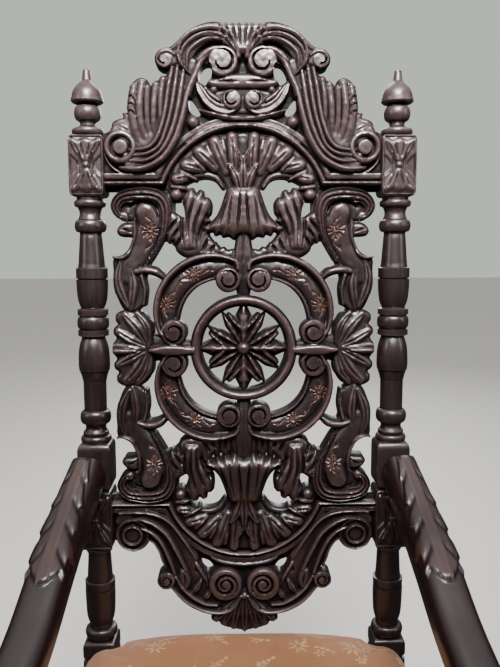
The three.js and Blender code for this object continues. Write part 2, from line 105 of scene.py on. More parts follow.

# %% [markdown]
# ## Finishes
# The wood is an old hardwood under a very dark, slightly purple stain and a rubbed polish. High places are
# polished by hands and show a lighter, redder colour; hollows are matt and painted nearly black as painted
# shade, and dust has settled in the cuts. Towards the top the wood is painted paler, as painted light where
# the lamps fall strongest. Two numbers stored on each point of a mesh say how high or deep it lies and how
# dusty it is, so the same material works on every piece without any painted texture.

# %% A helper that makes shader nodes short to write


class Finish:
    """A material with its shader, and a short way of adding nodes to it."""

    def __init__(self, name):
        self.material = bpy.data.materials.new(name)
        self.material.use_nodes = True
        self.tree = self.material.node_tree
        self.shader = self.tree.nodes["Principled BSDF"]

    def add(self, kind, out=0, inputs=None, **settings):
        node = self.tree.nodes.new("ShaderNode" + kind)
        for key, value in settings.items():
            setattr(node, key, value)
        for key, value in (inputs or {}).items():
            self.feed(node.inputs[key], value)
        return node.outputs[out]

    def feed(self, socket, value):
        if isinstance(value, bpy.types.NodeSocket):
            self.tree.links.new(value, socket)
        else:
            socket.default_value = value

    def point_value(self, name):
        return self.add("Attribute", out="Fac", attribute_name=name)

    def coordinates(self, scale=(1, 1, 1)):
        place = self.add("TexCoord", out="Object")
        return self.add("Mapping", inputs={"Vector": place, "Scale": scale})

    def axes(self, vector):
        """The x, y and z of a vector."""
        parts = self.tree.nodes.new("ShaderNodeSeparateXYZ")
        self.feed(parts.inputs[0], vector)
        return parts.outputs

    def noise(self, vector, scale, detail=4.0, rough=0.55):
        return self.add("TexNoise", out="Fac",
                        inputs={"Vector": vector, "Scale": scale, "Detail": detail, "Roughness": rough})

    def span(self, value, low, high, to_low=0.0, to_high=1.0):
        return self.add("MapRange", inputs={0: value, 1: low, 2: high, 3: to_low, 4: to_high})

    def sum(self, *values):
        total = values[0]
        for value in values[1:]:
            total = self.add("Math", inputs={0: total, 1: value}, operation="ADD")
        return total

    def times(self, a, b):
        return self.add("Math", inputs={0: a, 1: b}, operation="MULTIPLY")

    def mix(self, amount, a, b):
        node = self.tree.nodes.new("ShaderNodeMix")
        node.data_type = "RGBA"
        for index, value in ((0, amount), (6, a), (7, b)):
            self.feed(node.inputs[index], value)
        return node.outputs[2]

    def set(self, **sockets):
        for key, value in sockets.items():
            self.feed(self.shader.inputs[key.replace("_", " ")], value)


# %% Stained and polished wood
# Painted light: towards the top of the chair the wood is painted paler, standing in for the stronger light on
# the crest; these give that colour, the heights in metres where it starts and is full, and the most of it.
PAINTED_TOP_LIGHT = (0.095, 0.066, 0.062, 1)
PAINTED_TOP_LIGHT_HEIGHTS = (0.93, 1.15)
PAINTED_TOP_LIGHT_AMOUNT = 0.24
# Painted shade: a near-black colour laid into the hollows, where shadow falls.
SHADE_IN_HOLLOWS = (0.004, 0.003, 0.0035, 1)
DUST = (0.15, 0.062, 0.034, 1)
FIBRE_ACROSS, FIBRE_ALONG = 260, 14


def stained_wood(name, run, dark, middle, worn, gloss):
    """Old stained wood whose grain runs along axis run (0, 1 or 2)."""
    wood = Finish(name)
    stretch = [FIBRE_ACROSS] * 3
    stretch[run] = FIBRE_ALONG
    fibres = wood.noise(wood.coordinates(stretch), 1.0, 5, 0.6)
    here = wood.coordinates()
    cloud = wood.noise(here, 9, 3)
    fine = wood.noise(here, 420, 2)
    high = wood.point_value("high")
    deep = wood.point_value("deep")
    dust = wood.point_value("dust")
    tone = wood.mix(wood.span(fibres, 0.35, 0.7), dark, middle)
    rubbed = wood.times(wood.span(high, 0.15, 0.9), wood.span(cloud, 0.3, 0.65, 0.35, 1))
    tone = wood.mix(rubbed, tone, worn)
    # Painted light: the colour goes paler with height in the room, in patches set by the cloud noise.
    height_in_room = wood.axes(here)[2]
    painted_light_up_top = wood.times(wood.span(height_in_room, *PAINTED_TOP_LIGHT_HEIGHTS, 0, PAINTED_TOP_LIGHT_AMOUNT),
                      wood.span(cloud, 0.25, 0.6, 0.6, 1))
    tone = wood.mix(painted_light_up_top, tone, PAINTED_TOP_LIGHT)
    # Painted shade: the deeper a point lies below its neighbours, the nearer its colour goes to near black.
    tone = wood.mix(wood.span(deep, 0.1, 0.8, 0, 0.9), tone, SHADE_IN_HOLLOWS)
    specks = wood.span(wood.noise(here, 700, 3), 0.35, 0.6)
    tone = wood.mix(wood.times(wood.times(dust, specks), 0.75), tone, DUST)
    rough = wood.sum(wood.span(cloud, 0.3, 0.7, gloss - 0.05, gloss + 0.09), wood.times(fine, 0.08),
                     wood.times(deep, 0.25), wood.times(dust, 0.3))
    height = wood.sum(wood.times(fibres, 0.6), wood.times(fine, 0.25), wood.times(cloud, 0.8))
    bump = wood.add("Bump", inputs={"Strength": 0.22, "Distance": 0.0012, "Height": height})
    wood.set(Base_Color=tone, Roughness=rough, Normal=bump, Coat_Roughness=0.17,
             Coat_Weight=wood.span(deep, 0.1, 0.9, 0.40, 0.05),
             Specular_IOR_Level=wood.span(deep, 0.1, 0.9, 0.55, 0.15))
    return wood.material


DARK, MIDDLE, WORN = (0.007, 0.004, 0.004, 1), (0.019, 0.010, 0.010, 1), (0.052, 0.031, 0.031, 1)
RED_DARK, RED_MIDDLE, RED_WORN = (
    (0.003, 0.0012, 0.0011, 1), (0.016, 0.0022, 0.0018, 1), (0.048, 0.022, 0.020, 1))
wood_upright = stained_wood("stained wood, grain upright", 2, DARK, MIDDLE, WORN, 0.30)
wood_across = stained_wood("stained wood, grain across", 0, DARK, MIDDLE, WORN, 0.30)
wood_lengthwise = stained_wood("stained wood, grain front to back", 1, DARK, MIDDLE, WORN, 0.30)
wood_arm = stained_wood("red stained wood, grain along the arm", 1, RED_DARK, RED_MIDDLE, RED_WORN, 0.27)
print("wood finishes:", [finish.name for finish in (wood_upright, wood_across, wood_lengthwise, wood_arm)])

# %% [markdown]
# ## From numbers to a piece
# Every piece ends the same way: its mesh stands in the room, its edges are smooth or crisp by angle, it
# knows how high and deep each point lies, and it rides on the chair's one body. A mesh is edited fastest
# as one table of numbers, so its points are read into a table and written back.

# %% Meshes and pieces


def mesh_of(name, points, faces):
    mesh = bpy.data.meshes.new(name)
    mesh.from_pydata([tuple(p) for p in points], [], [tuple(int(i) for i in f) for f in faces])
    mesh.update()
    return mesh


def object_of(name, mesh):
    thing = bpy.data.objects.new(name, mesh)
    bpy.context.scene.collection.objects.link(thing)
    return thing


def plain_mesh(thing):
    """The mesh that an object's modifiers make; the object itself is taken away."""
    made = bpy.data.meshes.new_from_object(thing.evaluated_get(bpy.context.evaluated_depsgraph_get()))
    bpy.data.objects.remove(thing)
    return made


def read_points(mesh, what="co"):
    """One row for each point: its place ("co"), or its normal."""
    values = np.empty(len(mesh.vertices) * 3)
    mesh.vertices.foreach_get(what, values)
    return values.reshape(-1, 3)


def set_points(mesh, at):
    mesh.vertices.foreach_set("co", at.ravel())
    mesh.update()


def write_values(mesh, name, values):
    """Stores one number a point, which a material can read."""
    layer = mesh.attributes.get(name) or mesh.attributes.new(name, "FLOAT", "POINT")
    layer.data.foreach_set("value", np.asarray(values, np.float32).ravel())


def relief_by_shape(mesh, rounds=2, strength=2.2):
    """How far each point stands out of its neighbours, or lies below them."""
    count = len(mesh.vertices)
    at, normal = read_points(mesh), read_points(mesh, "normal")
    edge = np.empty(len(mesh.edges) * 2, int)
    mesh.edges.foreach_get("vertices", edge)
    edge = edge.reshape(-1, 2)
    a, b = edge.T
    step = at[b] - at[a]
    length = np.maximum(np.linalg.norm(step, axis=1), 1e-7)
    step /= length[:, None]
    total = (np.bincount(a, -(step * normal[a]).sum(1), count)
             + np.bincount(b, (step * normal[b]).sum(1), count))
    share = np.maximum(np.bincount(a, minlength=count) + np.bincount(b, minlength=count), 1)
    value = total / share
    for _ in range(rounds):
        value = 0.5 * value + 0.5 * (
            np.bincount(a, value[b], count) + np.bincount(b, value[a], count)) / share
    write_values(mesh, "high", np.clip(value * strength, 0, 1))
    write_values(mesh, "deep", np.clip(-value * strength, 0, 1))


def piece(name, mesh, material, slot, *nodes, smooth=38, shape_values=True):
    """A finished piece of the chair that stands for the named plain solids."""
    thing = object_of(name, mesh)
    mesh.materials.clear()
    mesh.materials.append(material)
    mesh.shade_smooth()
    if smooth:
        mesh.set_sharp_from_angle(angle=radians(smooth))
    if shape_values:
        relief_by_shape(mesh)
    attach(thing, "root")
    if nodes:
        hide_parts(*nodes)
    mesh.calc_loop_triangles()
    print("%s: %d triangles" % (name, len(mesh.loop_triangles)))
    return thing


# %% [markdown]
# ## Carving as a height drawing
# The crest, the splat and the bottom rail are carved boards, sawn through between the scrolls. A height
# drawing suits that work: a fine grid holds, for each point of the board, how high the wood stands and
# how far the point lies inside the sawn outline. Scrolls, leaves and beads are strokes along a smooth
# line, each with its own cross-section, and where two meet the higher one wins, as it does under a
# gouge. Only the right half is drawn; the left is its mirror image.

# %% Smooth lines for the carver's strokes


def smooth_line(points, gap=0.9):
    """A smooth curve through the points."""
    p = np.asarray(points, float)
    ends = np.vstack([2 * p[0] - p[1], p, 2 * p[-1] - p[-2]])
    runs = []
    for i in range(len(p) - 1):
        before, start, stop, after = ends[i:i + 4]
        t = np.linspace(0, 1, max(int(np.linalg.norm(stop - start) / gap), 3), endpoint=False)[:, None]
        leave, arrive = (stop - before) / 2, (after - start) / 2
        runs.append((2 * t**3 - 3 * t**2 + 1) * start + (t**3 - 2 * t**2 + t) * leave
                    + (3 * t**2 - 2 * t**3) * stop + (t**3 - t**2) * arrive)
    return np.vstack(runs + [p[-1:]])


def arc_line(x, v, radius, start, stop, count=40):
    turn = np.radians(np.linspace(start, stop, count))
    return np.c_[x + radius * np.cos(turn), v + radius * np.sin(turn)]


def spiral_line(x, v, outer, inner, start, turns, count=70):
    t = np.linspace(0, 1, count)
    turn = radians(start) + 2 * pi * turns * t
    radius = outer + (inner - outer) * t ** 0.85
    return np.c_[x + radius * np.cos(turn), v + radius * np.sin(turn)]


# %% Cross-sections: s runs from -1 to 1 across a stroke, t from 0 to 1 along it, and the answer is 0 to 1


def rounded(s, t):
    return np.sqrt(np.maximum(0, 1 - s * s))


def pillow(s, t):
    return np.sqrt(np.maximum(0, 1 - s ** 4))


def keeled(s, t):
    """Two slopes that meet on a ridge, with fine veins slanting away from it."""
    veins = 0.10 * np.sin(26 * t - 7 * np.abs(s)) * np.minimum(1, 4 * np.abs(s)) * (1 - np.abs(s))
    return np.maximum(0, 1 - np.abs(s) ** 1.5) + veins


def fluted(count, depth=0.5):
    """Hollow flutes between sharp ridges, on a slightly crowned band."""
    def section(s, t):
        wave = np.abs(np.cos(count * pi * (s + 1) / 2)) ** 1.6
        return (1 - depth) * (1 - 0.25 * s * s) + depth * wave * (1 - 0.3 * np.abs(s) ** 3)
    return section


def plump(s, t):
    """A leaf's lobe: full and rounded, with a fine vein cut down its middle."""
    body = np.maximum(0, 1 - np.abs(s) ** 2.4) ** 0.6
    return body - 0.26 * np.exp(-(s / 0.13) ** 2) * np.clip(t / 0.1, 0, 1) * np.clip((1 - t) / 0.15, 0, 1)


def framed(s, t):
    """A scroll's band: high rim outside, a cushioned field, a thin rim inside."""
    rim = np.maximum(0, 1 - np.abs((s - 0.78) / 0.22) ** 3) ** 0.6
    thin = 0.70 * np.sqrt(np.maximum(0, 1 - ((s + 0.87) / 0.13) ** 2))
    field = 0.20 + 0.36 * np.sqrt(np.maximum(0, 1 - ((s + 0.10) / 0.64) ** 2))
    return np.maximum(np.maximum(rim, thin), np.where((s > -0.74) & (s < 0.54), field, 0.0))


# %% The carver's board


class Board:
    """The right half of a carved board, as a height and a distance inside the outline."""

    def __init__(self, width, bottom, top, step):
        self.step = step
        self.x = np.arange(0, width + step, step)
        self.v = np.arange(bottom, top + step, step)
        self.X, self.V = np.meshgrid(self.x, self.v)
        self.height = np.full(self.X.shape, -40.0)
        self.inside = np.full(self.X.shape, -6.0)
        self.dust = np.zeros(self.X.shape)

    def near(self, line, margin):
        low, high = line.min(0) - margin, line.max(0) + margin
        i = np.searchsorted(self.x, [low[0], high[0]])
        j = np.searchsorted(self.v, [low[1], high[1]])
        return slice(j[0], j[1]), slice(i[0], i[1])

    def place(self, part, on, high, inside):
        raised = self.height[part]
        raised[on] = np.maximum(raised[on], high[on])
        self.inside[part] = np.maximum(self.inside[part], inside)

    def stroke(self, points, half, section, low, high, cut=False, dust=0.0, exact=False):
        """Wood raised, or cut away, along a line; half, low and high may change along it."""
        line = np.asarray(points, float) if exact else smooth_line(points)
        travel = np.r_[0, np.cumsum(np.hypot(*np.diff(line, axis=0).T))]
        travel /= travel[-1]

        def along(value):
            value = np.atleast_1d(np.asarray(value, float))
            return np.interp(travel, np.linspace(0, 1, len(value)), value)

        half, low, high = along(half), along(low), along(high)
        heading = np.gradient(line, axis=0)
        heading /= np.maximum(np.hypot(*heading.T), 1e-9)[:, None]
        part = self.near(line, half.max() + 2 * self.step)
        X, V = self.X[part], self.V[part]
        if X.size == 0:
            return
        away = np.hypot(X.ravel()[:, None] - line[:, 0], V.ravel()[:, None] - line[:, 1])
        nearest = np.argmin(away, axis=1)
        rows = np.arange(len(nearest))
        distance = away[rows, nearest]
        dx, dv = X.ravel() - line[nearest, 0], V.ravel() - line[nearest, 1]
        left = np.sign(heading[nearest, 0] * dv - heading[nearest, 1] * dx)
        s = np.clip(left * distance / np.maximum(half[nearest], 0.3), -1, 1)
        rise = section(s, travel[nearest])
        inside = (half[nearest] - distance).reshape(X.shape)
        on = inside > 0
        if cut:
            depth = (high[nearest] * rise).reshape(X.shape)
            self.height[part][on] -= depth[on]
            self.dust[part][on] = np.maximum(self.dust[part][on], dust)
        else:
            level = (low[nearest] + (high[nearest] - low[nearest]) * rise).reshape(X.shape)
            self.place(part, on, level, inside)

    def distance(self, outline):
        """How far each point lies inside a closed outline; negative outside."""
        p = np.asarray(outline, float)
        best = np.full(self.X.shape, 1e9)
        odd = np.zeros(self.X.shape, bool)
        for (x0, v0), (x1, v1) in zip(p, np.roll(p, -1, axis=0)):
            ex, ev = x1 - x0, v1 - v0
            t = np.clip(((self.X - x0) * ex + (self.V - v0) * ev) / max(ex * ex + ev * ev, 1e-9), 0, 1)
            if x0 or x1:
                best = np.minimum(best, np.hypot(self.X - x0 - t * ex, self.V - v0 - t * ev))
            if v0 != v1:
                crossing = x0 + (x1 - x0) * (self.V - v0) / (v1 - v0)
                odd ^= ((v0 > self.V) != (v1 > self.V)) & (self.X < crossing)
        return np.where(odd, best, -best)

    def ground(self, outline, level):
        inside = self.distance(outline)
        self.place(slice(None), inside > 0, np.full(inside.shape, float(level)), inside)

    def form(self, outline, low, high, reach):
        """A solid mass whose edge rounds up to a nearly flat top."""
        inside = self.distance(smooth_line(list(outline) + [outline[0]], 1.6))
        rise = np.sqrt(np.maximum(0, 1 - (1 - np.clip(inside / reach, 0, 1)) ** 2))
        self.place(slice(None), inside > 0, low + (high - low) * rise, inside)

    def flute(self, points, half=1.8, depth=3.5):
        """A groove that runs out to nothing at both ends, as a gouge leaves it."""
        self.stroke(points, [half * 0.4, half, half, half * 0.4], rounded, 0, [0, depth, depth, 0], cut=True)

    def hole(self, outline):
        self.inside = np.minimum(self.inside, -self.distance(smooth_line(list(outline) + [outline[0]], 2)))

    def turned(self, x, v, radii, levels):
        """A round thing, such as a ball, a ring or an eye, from its radii and heights."""
        r = np.hypot(self.X - x, self.V - v)
        on = (r < radii[-1]) & (r >= (radii[0] if radii[0] > 0 else -1))
        level = np.interp(r, radii, levels)
        self.height[on] = np.maximum(self.height[on], level[on])
        self.inside = np.maximum(self.inside, np.minimum(radii[-1] - r, r - radii[0] if radii[0] > 0 else 99))

    def ball(self, x, v, radius, low, high):
        r = np.linspace(0, 1, 12)
        self.turned(x, v, r * radius, low + (high - low) * np.sqrt(1 - r * r))

    def volute(self, x, v, outer, start, turns, high, eye=0.47):
        """A scroll's end: a flat ribbon coiled round a flat eye, with one narrow groove between."""
        self.turned(x, v, [0, outer * 0.5, outer * 0.9, outer], [high, high - 0.3, high - 0.8, high - 5])
        groove = spiral_line(x, v, outer * 0.78, outer * eye, start, turns)
        width = [outer * 0.03, outer * 0.095, outer * 0.10, outer * 0.05]
        self.stroke(groove, width, rounded, 0, [1, 7, 8, 5], cut=True, exact=True)

    def daisy(self, x, v, radius, petals=10, turn=0.3):
        """A small flower of wedge cuts, where dust gathers."""
        for k in range(petals):
            a = turn + 2 * pi * k / petals
            reach = radius * (0.86 + 0.14 * cos(3.3 * k))
            ends = [(x + 0.30 * radius * cos(a), v + 0.30 * radius * sin(a)),
                    (x + reach * cos(a), v + reach * sin(a))]
            self.stroke(ends, [0.6, 1.3, 0.5], rounded, 0, 2.0, cut=True, dust=1.0)
        self.stroke([(x - 0.3, v), (x + 0.3, v)], 1.8, rounded, 0, 1.6, cut=True, dust=0.9)


# %% [markdown]
# ## From the height drawing to a sawn board
# The outline is followed inside each grid square, so the sawn edge is smooth and not stepped. Front
# and back share that edge, joined by a wall as a fret saw leaves it. Flat places need few faces, so the
# mesh is then thinned where nothing is lost, and the height map tells each point how high it lies.

# %% Following the outline through the grid

# Corners of a grid square, anticlockwise, are 0 to 3; the edges after them are 4 to 7.
SQUARE_CASES = {
    1: [[0, 4, 7]], 2: [[4, 1, 5]], 3: [[0, 1, 5, 7]], 4: [[5, 2, 6]], 5: [[0, 4, 7], [5, 2, 6]],
    6: [[4, 1, 2, 6]], 7: [[0, 1, 2, 6, 7]], 8: [[7, 6, 3]], 9: [[0, 4, 6, 3]],
    10: [[4, 1, 5], [7, 6, 3]], 11: [[0, 1, 5, 6, 3]], 12: [[7, 5, 2, 3]], 13: [[0, 4, 5, 2, 3]],
    14: [[4, 1, 2, 3, 7]], 15: [[0, 1, 2, 3]],
}


def saw_out(board, back, edge_depth):
    """Points and faces of a closed board: carved front, flat back, and the wall between."""
    mirror = slice(None, 0, -1)
    x = np.r_[-board.x[mirror], board.x]
    height = np.hstack([board.height[:, mirror], board.height])
    inside = np.hstack([board.inside[:, mirror], board.inside])
    inside = np.where(np.abs(inside) < 0.02 * board.step, -0.02 * board.step, inside)
    inside[0] = inside[-1] = -1
    inside[:, 0] = inside[:, -1] = -1
    wood = inside > 0
    rows, columns = inside.shape
    number = np.full(inside.shape, -1)
    number[wood] = np.arange(wood.sum())
    jj, ii = np.nonzero(wood)
    points = [np.c_[x[ii], board.v[jj], height[jj, ii]]]
    base = wood.sum()

    def crossings(a, b):
        """Points where the outline crosses the grid edges from a to b."""
        nonlocal base
        (ja, ia), (jb, ib) = a, b
        crossed = wood[ja, ia] != wood[jb, ib]
        index = np.full(crossed.shape, -1)
        index[crossed] = base + np.arange(crossed.sum())
        base += crossed.sum()
        da, db = inside[ja, ia][crossed], inside[jb, ib][crossed]
        t = da / (da - db)
        J, I = np.meshgrid(np.arange(rows)[ja], np.arange(columns)[ia], indexing="ij")
        K, L = np.meshgrid(np.arange(rows)[jb], np.arange(columns)[ib], indexing="ij")
        xs = x[I[crossed]] * (1 - t) + x[L[crossed]] * t
        vs = board.v[J[crossed]] * (1 - t) + board.v[K[crossed]] * t
        ns = np.where(da > 0, height[ja, ia][crossed], height[jb, ib][crossed])
        points.append(np.c_[xs, vs, ns])
        return index

    whole, low, high = slice(None), slice(None, -1), slice(1, None)
    flat_edges = crossings((whole, low), (whole, high))
    steep_edges = crossings((low, whole), (high, whole))
    corner = [number[:-1, :-1], number[:-1, 1:], number[1:, 1:], number[1:, :-1],
              flat_edges[:-1], steep_edges[:, 1:], flat_edges[1:], steep_edges[:, :-1]]
    case = (wood[:-1, :-1] * 1 + wood[:-1, 1:] * 2 + wood[1:, 1:] * 4 + wood[1:, :-1] * 8)
    front = []
    for key, polygons in SQUARE_CASES.items():
        here = case == key
        for polygon in polygons:
            front += np.stack([corner[k][here] for k in polygon], axis=1).tolist()
    front_points = np.vstack(points)
    front_points[:, 2] = np.maximum(front_points[:, 2], back + edge_depth)
    count = len(front_points)
    edges = {}
    for face in front:
        for a, b in zip(face, face[1:] + face[:1]):
            if (b, a) in edges:
                del edges[(b, a)]
            else:
                edges[(a, b)] = True
    back_points = front_points.copy()
    back_points[:, 2] = back
    walls = [[b, a, a + count, b + count] for a, b in edges]
    return (np.vstack([front_points, back_points]),
            front + [[i + count for i in reversed(f)] for f in front] + walls)


def thinned(mesh, limit):
    """The same mesh with fewer faces, where it is flat."""
    thing = object_of("thinning", mesh)
    mesh.calc_loop_triangles()
    count = len(mesh.loop_triangles)
    if count > limit:
        cut = thing.modifiers.new("thin", "DECIMATE")
        cut.ratio = limit / count
    return plain_mesh(thing)


def blurred(values, weight, reach):
    """Mean of the values near each grid point, over the wood alone."""
    kernel = np.exp(-(np.arange(-3 * reach, 3 * reach + 1) / reach) ** 2 / 2)

    def spread(a):
        a = np.apply_along_axis(np.convolve, 0, a, kernel, "same")
        return np.apply_along_axis(np.convolve, 1, a, kernel, "same")

    return spread(values * weight) / np.maximum(spread(weight), 1e-6)


def sample(board, grid, x, v):
    """Values of a grid at points of the drawing."""
    i = np.clip(np.abs(x) / board.step, 0, grid.shape[1] - 1.001)
    j = np.clip((v - board.v[0]) / board.step, 0, grid.shape[0] - 1.001)
    i0, j0 = i.astype(int), j.astype(int)
    fi, fj = i - i0, j - j0
    return ((grid[j0, i0] * (1 - fi) + grid[j0, i0 + 1] * fi) * (1 - fj)
            + (grid[j0 + 1, i0] * (1 - fi) + grid[j0 + 1, i0 + 1] * fi) * fj)


BOARD_BACK = -12.0
SAWN_EDGE = 6
VALLEY = 3.5  # no cut goes further than this below the wood near it
FULL_HIGH, FULL_DEEP = 3.2, 2.4
TRIANGLES = 196000


def carve(board, name, *nodes, tools=0.14):
    """Saws the board out, lays it on the leaning back and finishes it; tools is how far gouge marks show."""
    marks = np.random.default_rng(7).normal(size=board.height.shape)
    marks = blurred(marks, np.ones_like(marks), 2) * tools * 6
    wood = (board.inside > 0) * 1.0
    filled = blurred(np.where(wood > 0, board.height, 0), wood, 4) - VALLEY
    board.height = np.where(wood > 0, np.maximum(board.height, filled) + marks, board.height)
    points, faces = saw_out(board, BOARD_BACK, SAWN_EDGE)
    mesh = thinned(mesh_of(name, points, faces), TRIANGLES)
    at = read_points(mesh)
    level = np.where(wood > 0, board.height, 0)
    small = level - blurred(level, wood, 3)
    wide = level - blurred(level, wood, 9)
    front = (at[:, 2] > BOARD_BACK + SAWN_EDGE - 2) * 1.0
    relief = sample(board, small * 0.9 + wide * 0.35, at[:, 0], at[:, 1]) * front
    write_values(mesh, "high", np.clip(relief / FULL_HIGH, 0, 1))
    write_values(mesh, "deep", np.clip(-relief / FULL_DEEP, 0, 1))
    write_values(mesh, "dust", sample(board, board.dust, at[:, 0], at[:, 1]) * front)
    set_points(mesh, on_back(at[:, 0], at[:, 1], at[:, 2]))
    return piece(name, mesh, wood_upright, "dark_wood", *nodes, smooth=50, shape_values=False)


# %% [markdown]
# ## The crest rail
# The top board rises from a moulded rail over an arch. On each side a reeded sweep curls out of a large
# volute and climbs to a hood with a draped leaf, an inner volute and a ribbed shell on top.

# %% Mouldings shared by the crest and the bottom rail
STEP = 1.0
ARCH_R = 97.5
MOULDING_HALF = 11.5


def rail_moulding(s, t):
    """Cove, bead, groove and fillet, from the inner edge (s = 1) to the outer (s = -1)."""
    place = [-1, -0.92, -0.45, -0.36, -0.26, -0.16, -0.05, 0.14, 0.32, 0.42, 0.50, 0.9, 1]
    level = [0.50, 0.60, 0.58, 0.50, 0.05, 0.10, 0.84, 1.00, 0.84, 0.30, -0.30, -0.40, -0.35]
    return np.interp(s, place, level)


def arch_rail(board, rail_v, centre_v, radius, up):
    """A straight moulding that turns into the arch over or under the splat."""
    turn = np.degrees(np.arcsin(abs(rail_v - centre_v) / radius))
    straight = np.c_[np.linspace(186, radius * cos(radians(turn)), 30), np.full(30, rail_v)]
    arc = arc_line(0, centre_v, radius, turn * up, 90 * up, 90)
    section = rail_moulding if up > 0 else (lambda s, t: rail_moulding(-s, t))
    board.stroke(np.vstack([straight, arc]), MOULDING_HALF, section, 2, 15, exact=True)
    edge = arc_line(0, centre_v, ARCH_R + 4, 22 * up, 90 * up, 90)
    board.stroke(edge, 4, pillow, -2, 0, exact=True)


def whole(points):
    """A half outline and its mirror image, as one closed outline."""
    return list(points) + [(-x, v) for x, v in reversed(points)]


# %% Drawing the crest
crest = Board(183, 634, 853, STEP)
crest.ground([(0, 706), (40, 700), (82, 672), (101, 652), (182, 652), (182, 712), (170, 716), (150, 722),
              (100, 760), (96, 800), (70, 822), (50, 836), (0, 838)], 3)
arch_rail(crest, 651, 611, 113, 1)
crest.stroke([(181, 657), (140, 657), (104, 658)], 1.6, rounded, 4, 8)
crest.stroke([(180, 692), (173, 675), (160, 664), (142, 660), (122, 662), (107, 669), (96, 682)], 2.2,
             rounded, 3, 9)

# %% The crest's acanthus: one solid leaf, ribbed, with a notched edge
crest.form([(173, 710), (169, 719), (162, 729), (153, 732), (154, 738), (146, 738), (148, 745), (142, 747),
            (146, 755), (145, 763), (142, 772), (136, 779), (128, 781), (121, 778), (116, 771), (111, 776),
            (104, 780), (96, 785), (88, 788), (90, 740), (100, 712), (118, 694), (138, 690), (155, 700)],
           5, 12, 5)
crest.stroke([(140, 708), (152, 718), (161, 722)], [6, 9, 7], plump, 5, [10, 13, 12])
crest.stroke([(130, 694), (138, 718), (141, 744), (138, 768)], [5, 6.5, 6.5, 6], rounded, 7, [11, 15, 17, 16])
crest.stroke([(125, 698), (130, 724), (131, 750), (128, 773)], [4, 5.5, 6, 6.5], rounded, 7, [11, 16, 18, 16])
crest.stroke([(119, 700), (122, 724), (122, 748), (121, 767)], [3.5, 4.5, 5, 5], rounded, 7, [11, 14, 16, 18])
crest.stroke([(114, 704), (114, 726), (113, 750), (110, 771)], [3.5, 5, 5.5, 6], rounded, 7, [11, 15, 17, 16])
crest.stroke([(107, 712), (105, 735), (104, 758), (101, 778)], [3, 4.5, 5, 5], rounded, 7, [11, 15, 17, 16])
for v in (738, 747, 756):
    crest.flute([(150, v), (141, v + 1), (136, v - 8)], 1.2, 3)

# %% The crest's fluted sweep and its volute
crest.form([(152, 663), (126, 665), (105, 677), (91, 696), (81, 716), (74, 740), (69, 758), (61, 782),
            (54, 797), (60, 806), (78, 804), (92, 790), (96, 766), (100, 744), (104, 726), (112, 708),
            (124, 697), (140, 690), (156, 688)], 6, 13, 6)
crest.stroke([(146, 691), (124, 693), (111, 703), (103, 722), (98, 742), (94, 768), (89, 792)],
             [2, 3, 3.4, 3.6, 3.4, 3.4, 3], rounded, 9, [13, 18, 20, 20, 20, 20, 18])
crest.stroke([(148, 684), (124, 686), (107, 696), (98, 716), (91, 740), (86, 768), (82, 794)],
             [2, 3, 3.4, 3.6, 3.6, 3.6, 3], rounded, 9, [13, 18, 20, 21, 21, 20, 18])
crest.stroke([(150, 677), (124, 678), (104, 690), (91, 713), (83, 740), (78, 768), (74, 792)],
             [2, 3, 3.8, 4.2, 4.2, 4, 3], rounded, 9, [13, 18, 21, 22, 22, 21, 18])
crest.stroke([(158, 669), (140, 667), (122, 670), (103, 681), (89, 700), (80, 722), (74, 744), (69, 764),
              (60, 784), (53, 799), (42, 810)], [2, 4, 4.4, 4.6, 4.6, 4.6, 4.6, 5, 5, 5, 4], rounded, 8,
             [14, 19, 20, 21, 22, 22, 22, 21, 20, 19, 18])
crest.turned(157, 695, [0, 8.6, 9.6, 10.2, 13.2, 14.0, 16.0, 19.5, 21.5],
             [15.5, 15, 13, 5, 4.5, 14, 17, 16, 8])

# %% A curl and a hood, whose nested ridges close over the inner volute
crest.form([(80, 794), (90, 792), (102, 791), (110, 797), (111, 807), (104, 815), (92, 818), (80, 827),
            (68, 837), (55, 845), (38, 849), (20, 846), (8, 834), (4, 820), (10, 808), (22, 820), (40, 824),
            (56, 814), (66, 798), (72, 790)], 7, 15, 7)
crest.volute(99, 803, 11.5, 120, -0.6, 17)
crest.stroke([(86, 808), (94, 812), (103, 810), (108, 803)], [4, 5, 4, 2.5], rounded, 7, [17, 19, 19, 17])
crest.stroke([(88, 815), (80, 822), (66, 834), (50, 840), (34, 841), (19, 836), (9, 824), (5, 806)],
             [3, 4, 4, 4, 4, 4, 3.6, 3], rounded, 9, [17, 19, 20, 20, 20, 20, 19, 17])
crest.stroke([(78, 800), (75, 815), (63, 827), (49, 833), (34, 833.5), (21, 829), (12, 819)],
             [2, 3, 3.2, 3.2, 3.2, 3, 2.4], rounded, 9, [17, 20, 21, 21, 20, 19, 17])
crest.stroke([(71, 792), (69, 809), (59, 820), (46, 827), (33, 828)], [2, 3, 3.2, 3, 2], rounded, 9,
             [17, 20, 20, 19, 16])
crest.stroke([(76, 826), (81, 812), (78, 797), (67, 784)], [2.5, 5, 5.5, 1.5], keeled, 6, [20, 23, 23, 18])

# %% The inner volute: its ribbon comes up from the sweep under a dark crescent
crest.stroke([(58, 807), (50, 816), (39, 822), (27, 824)], [1, 3.6, 4.2, 2], rounded, 0, 9, cut=True)
crest.stroke([(56, 801), (46, 810), (36, 815), (28, 816)], [4, 5.5, 5, 3], rounded, 8, [19, 20, 20, 19])
crest.volute(25, 800, 19, 62, 0.80, 20)

# %% The shell on top
crest.form(whole([(36, 848), (42, 842), (34, 834), (20, 822), (10, 810)]), 8, 17, 8)
for x in (5, 14, 24, 33):
    crest.flute([(x * 0.4, 816), (x * 0.75, 834), (x, 852)], 2.0, 3.4)

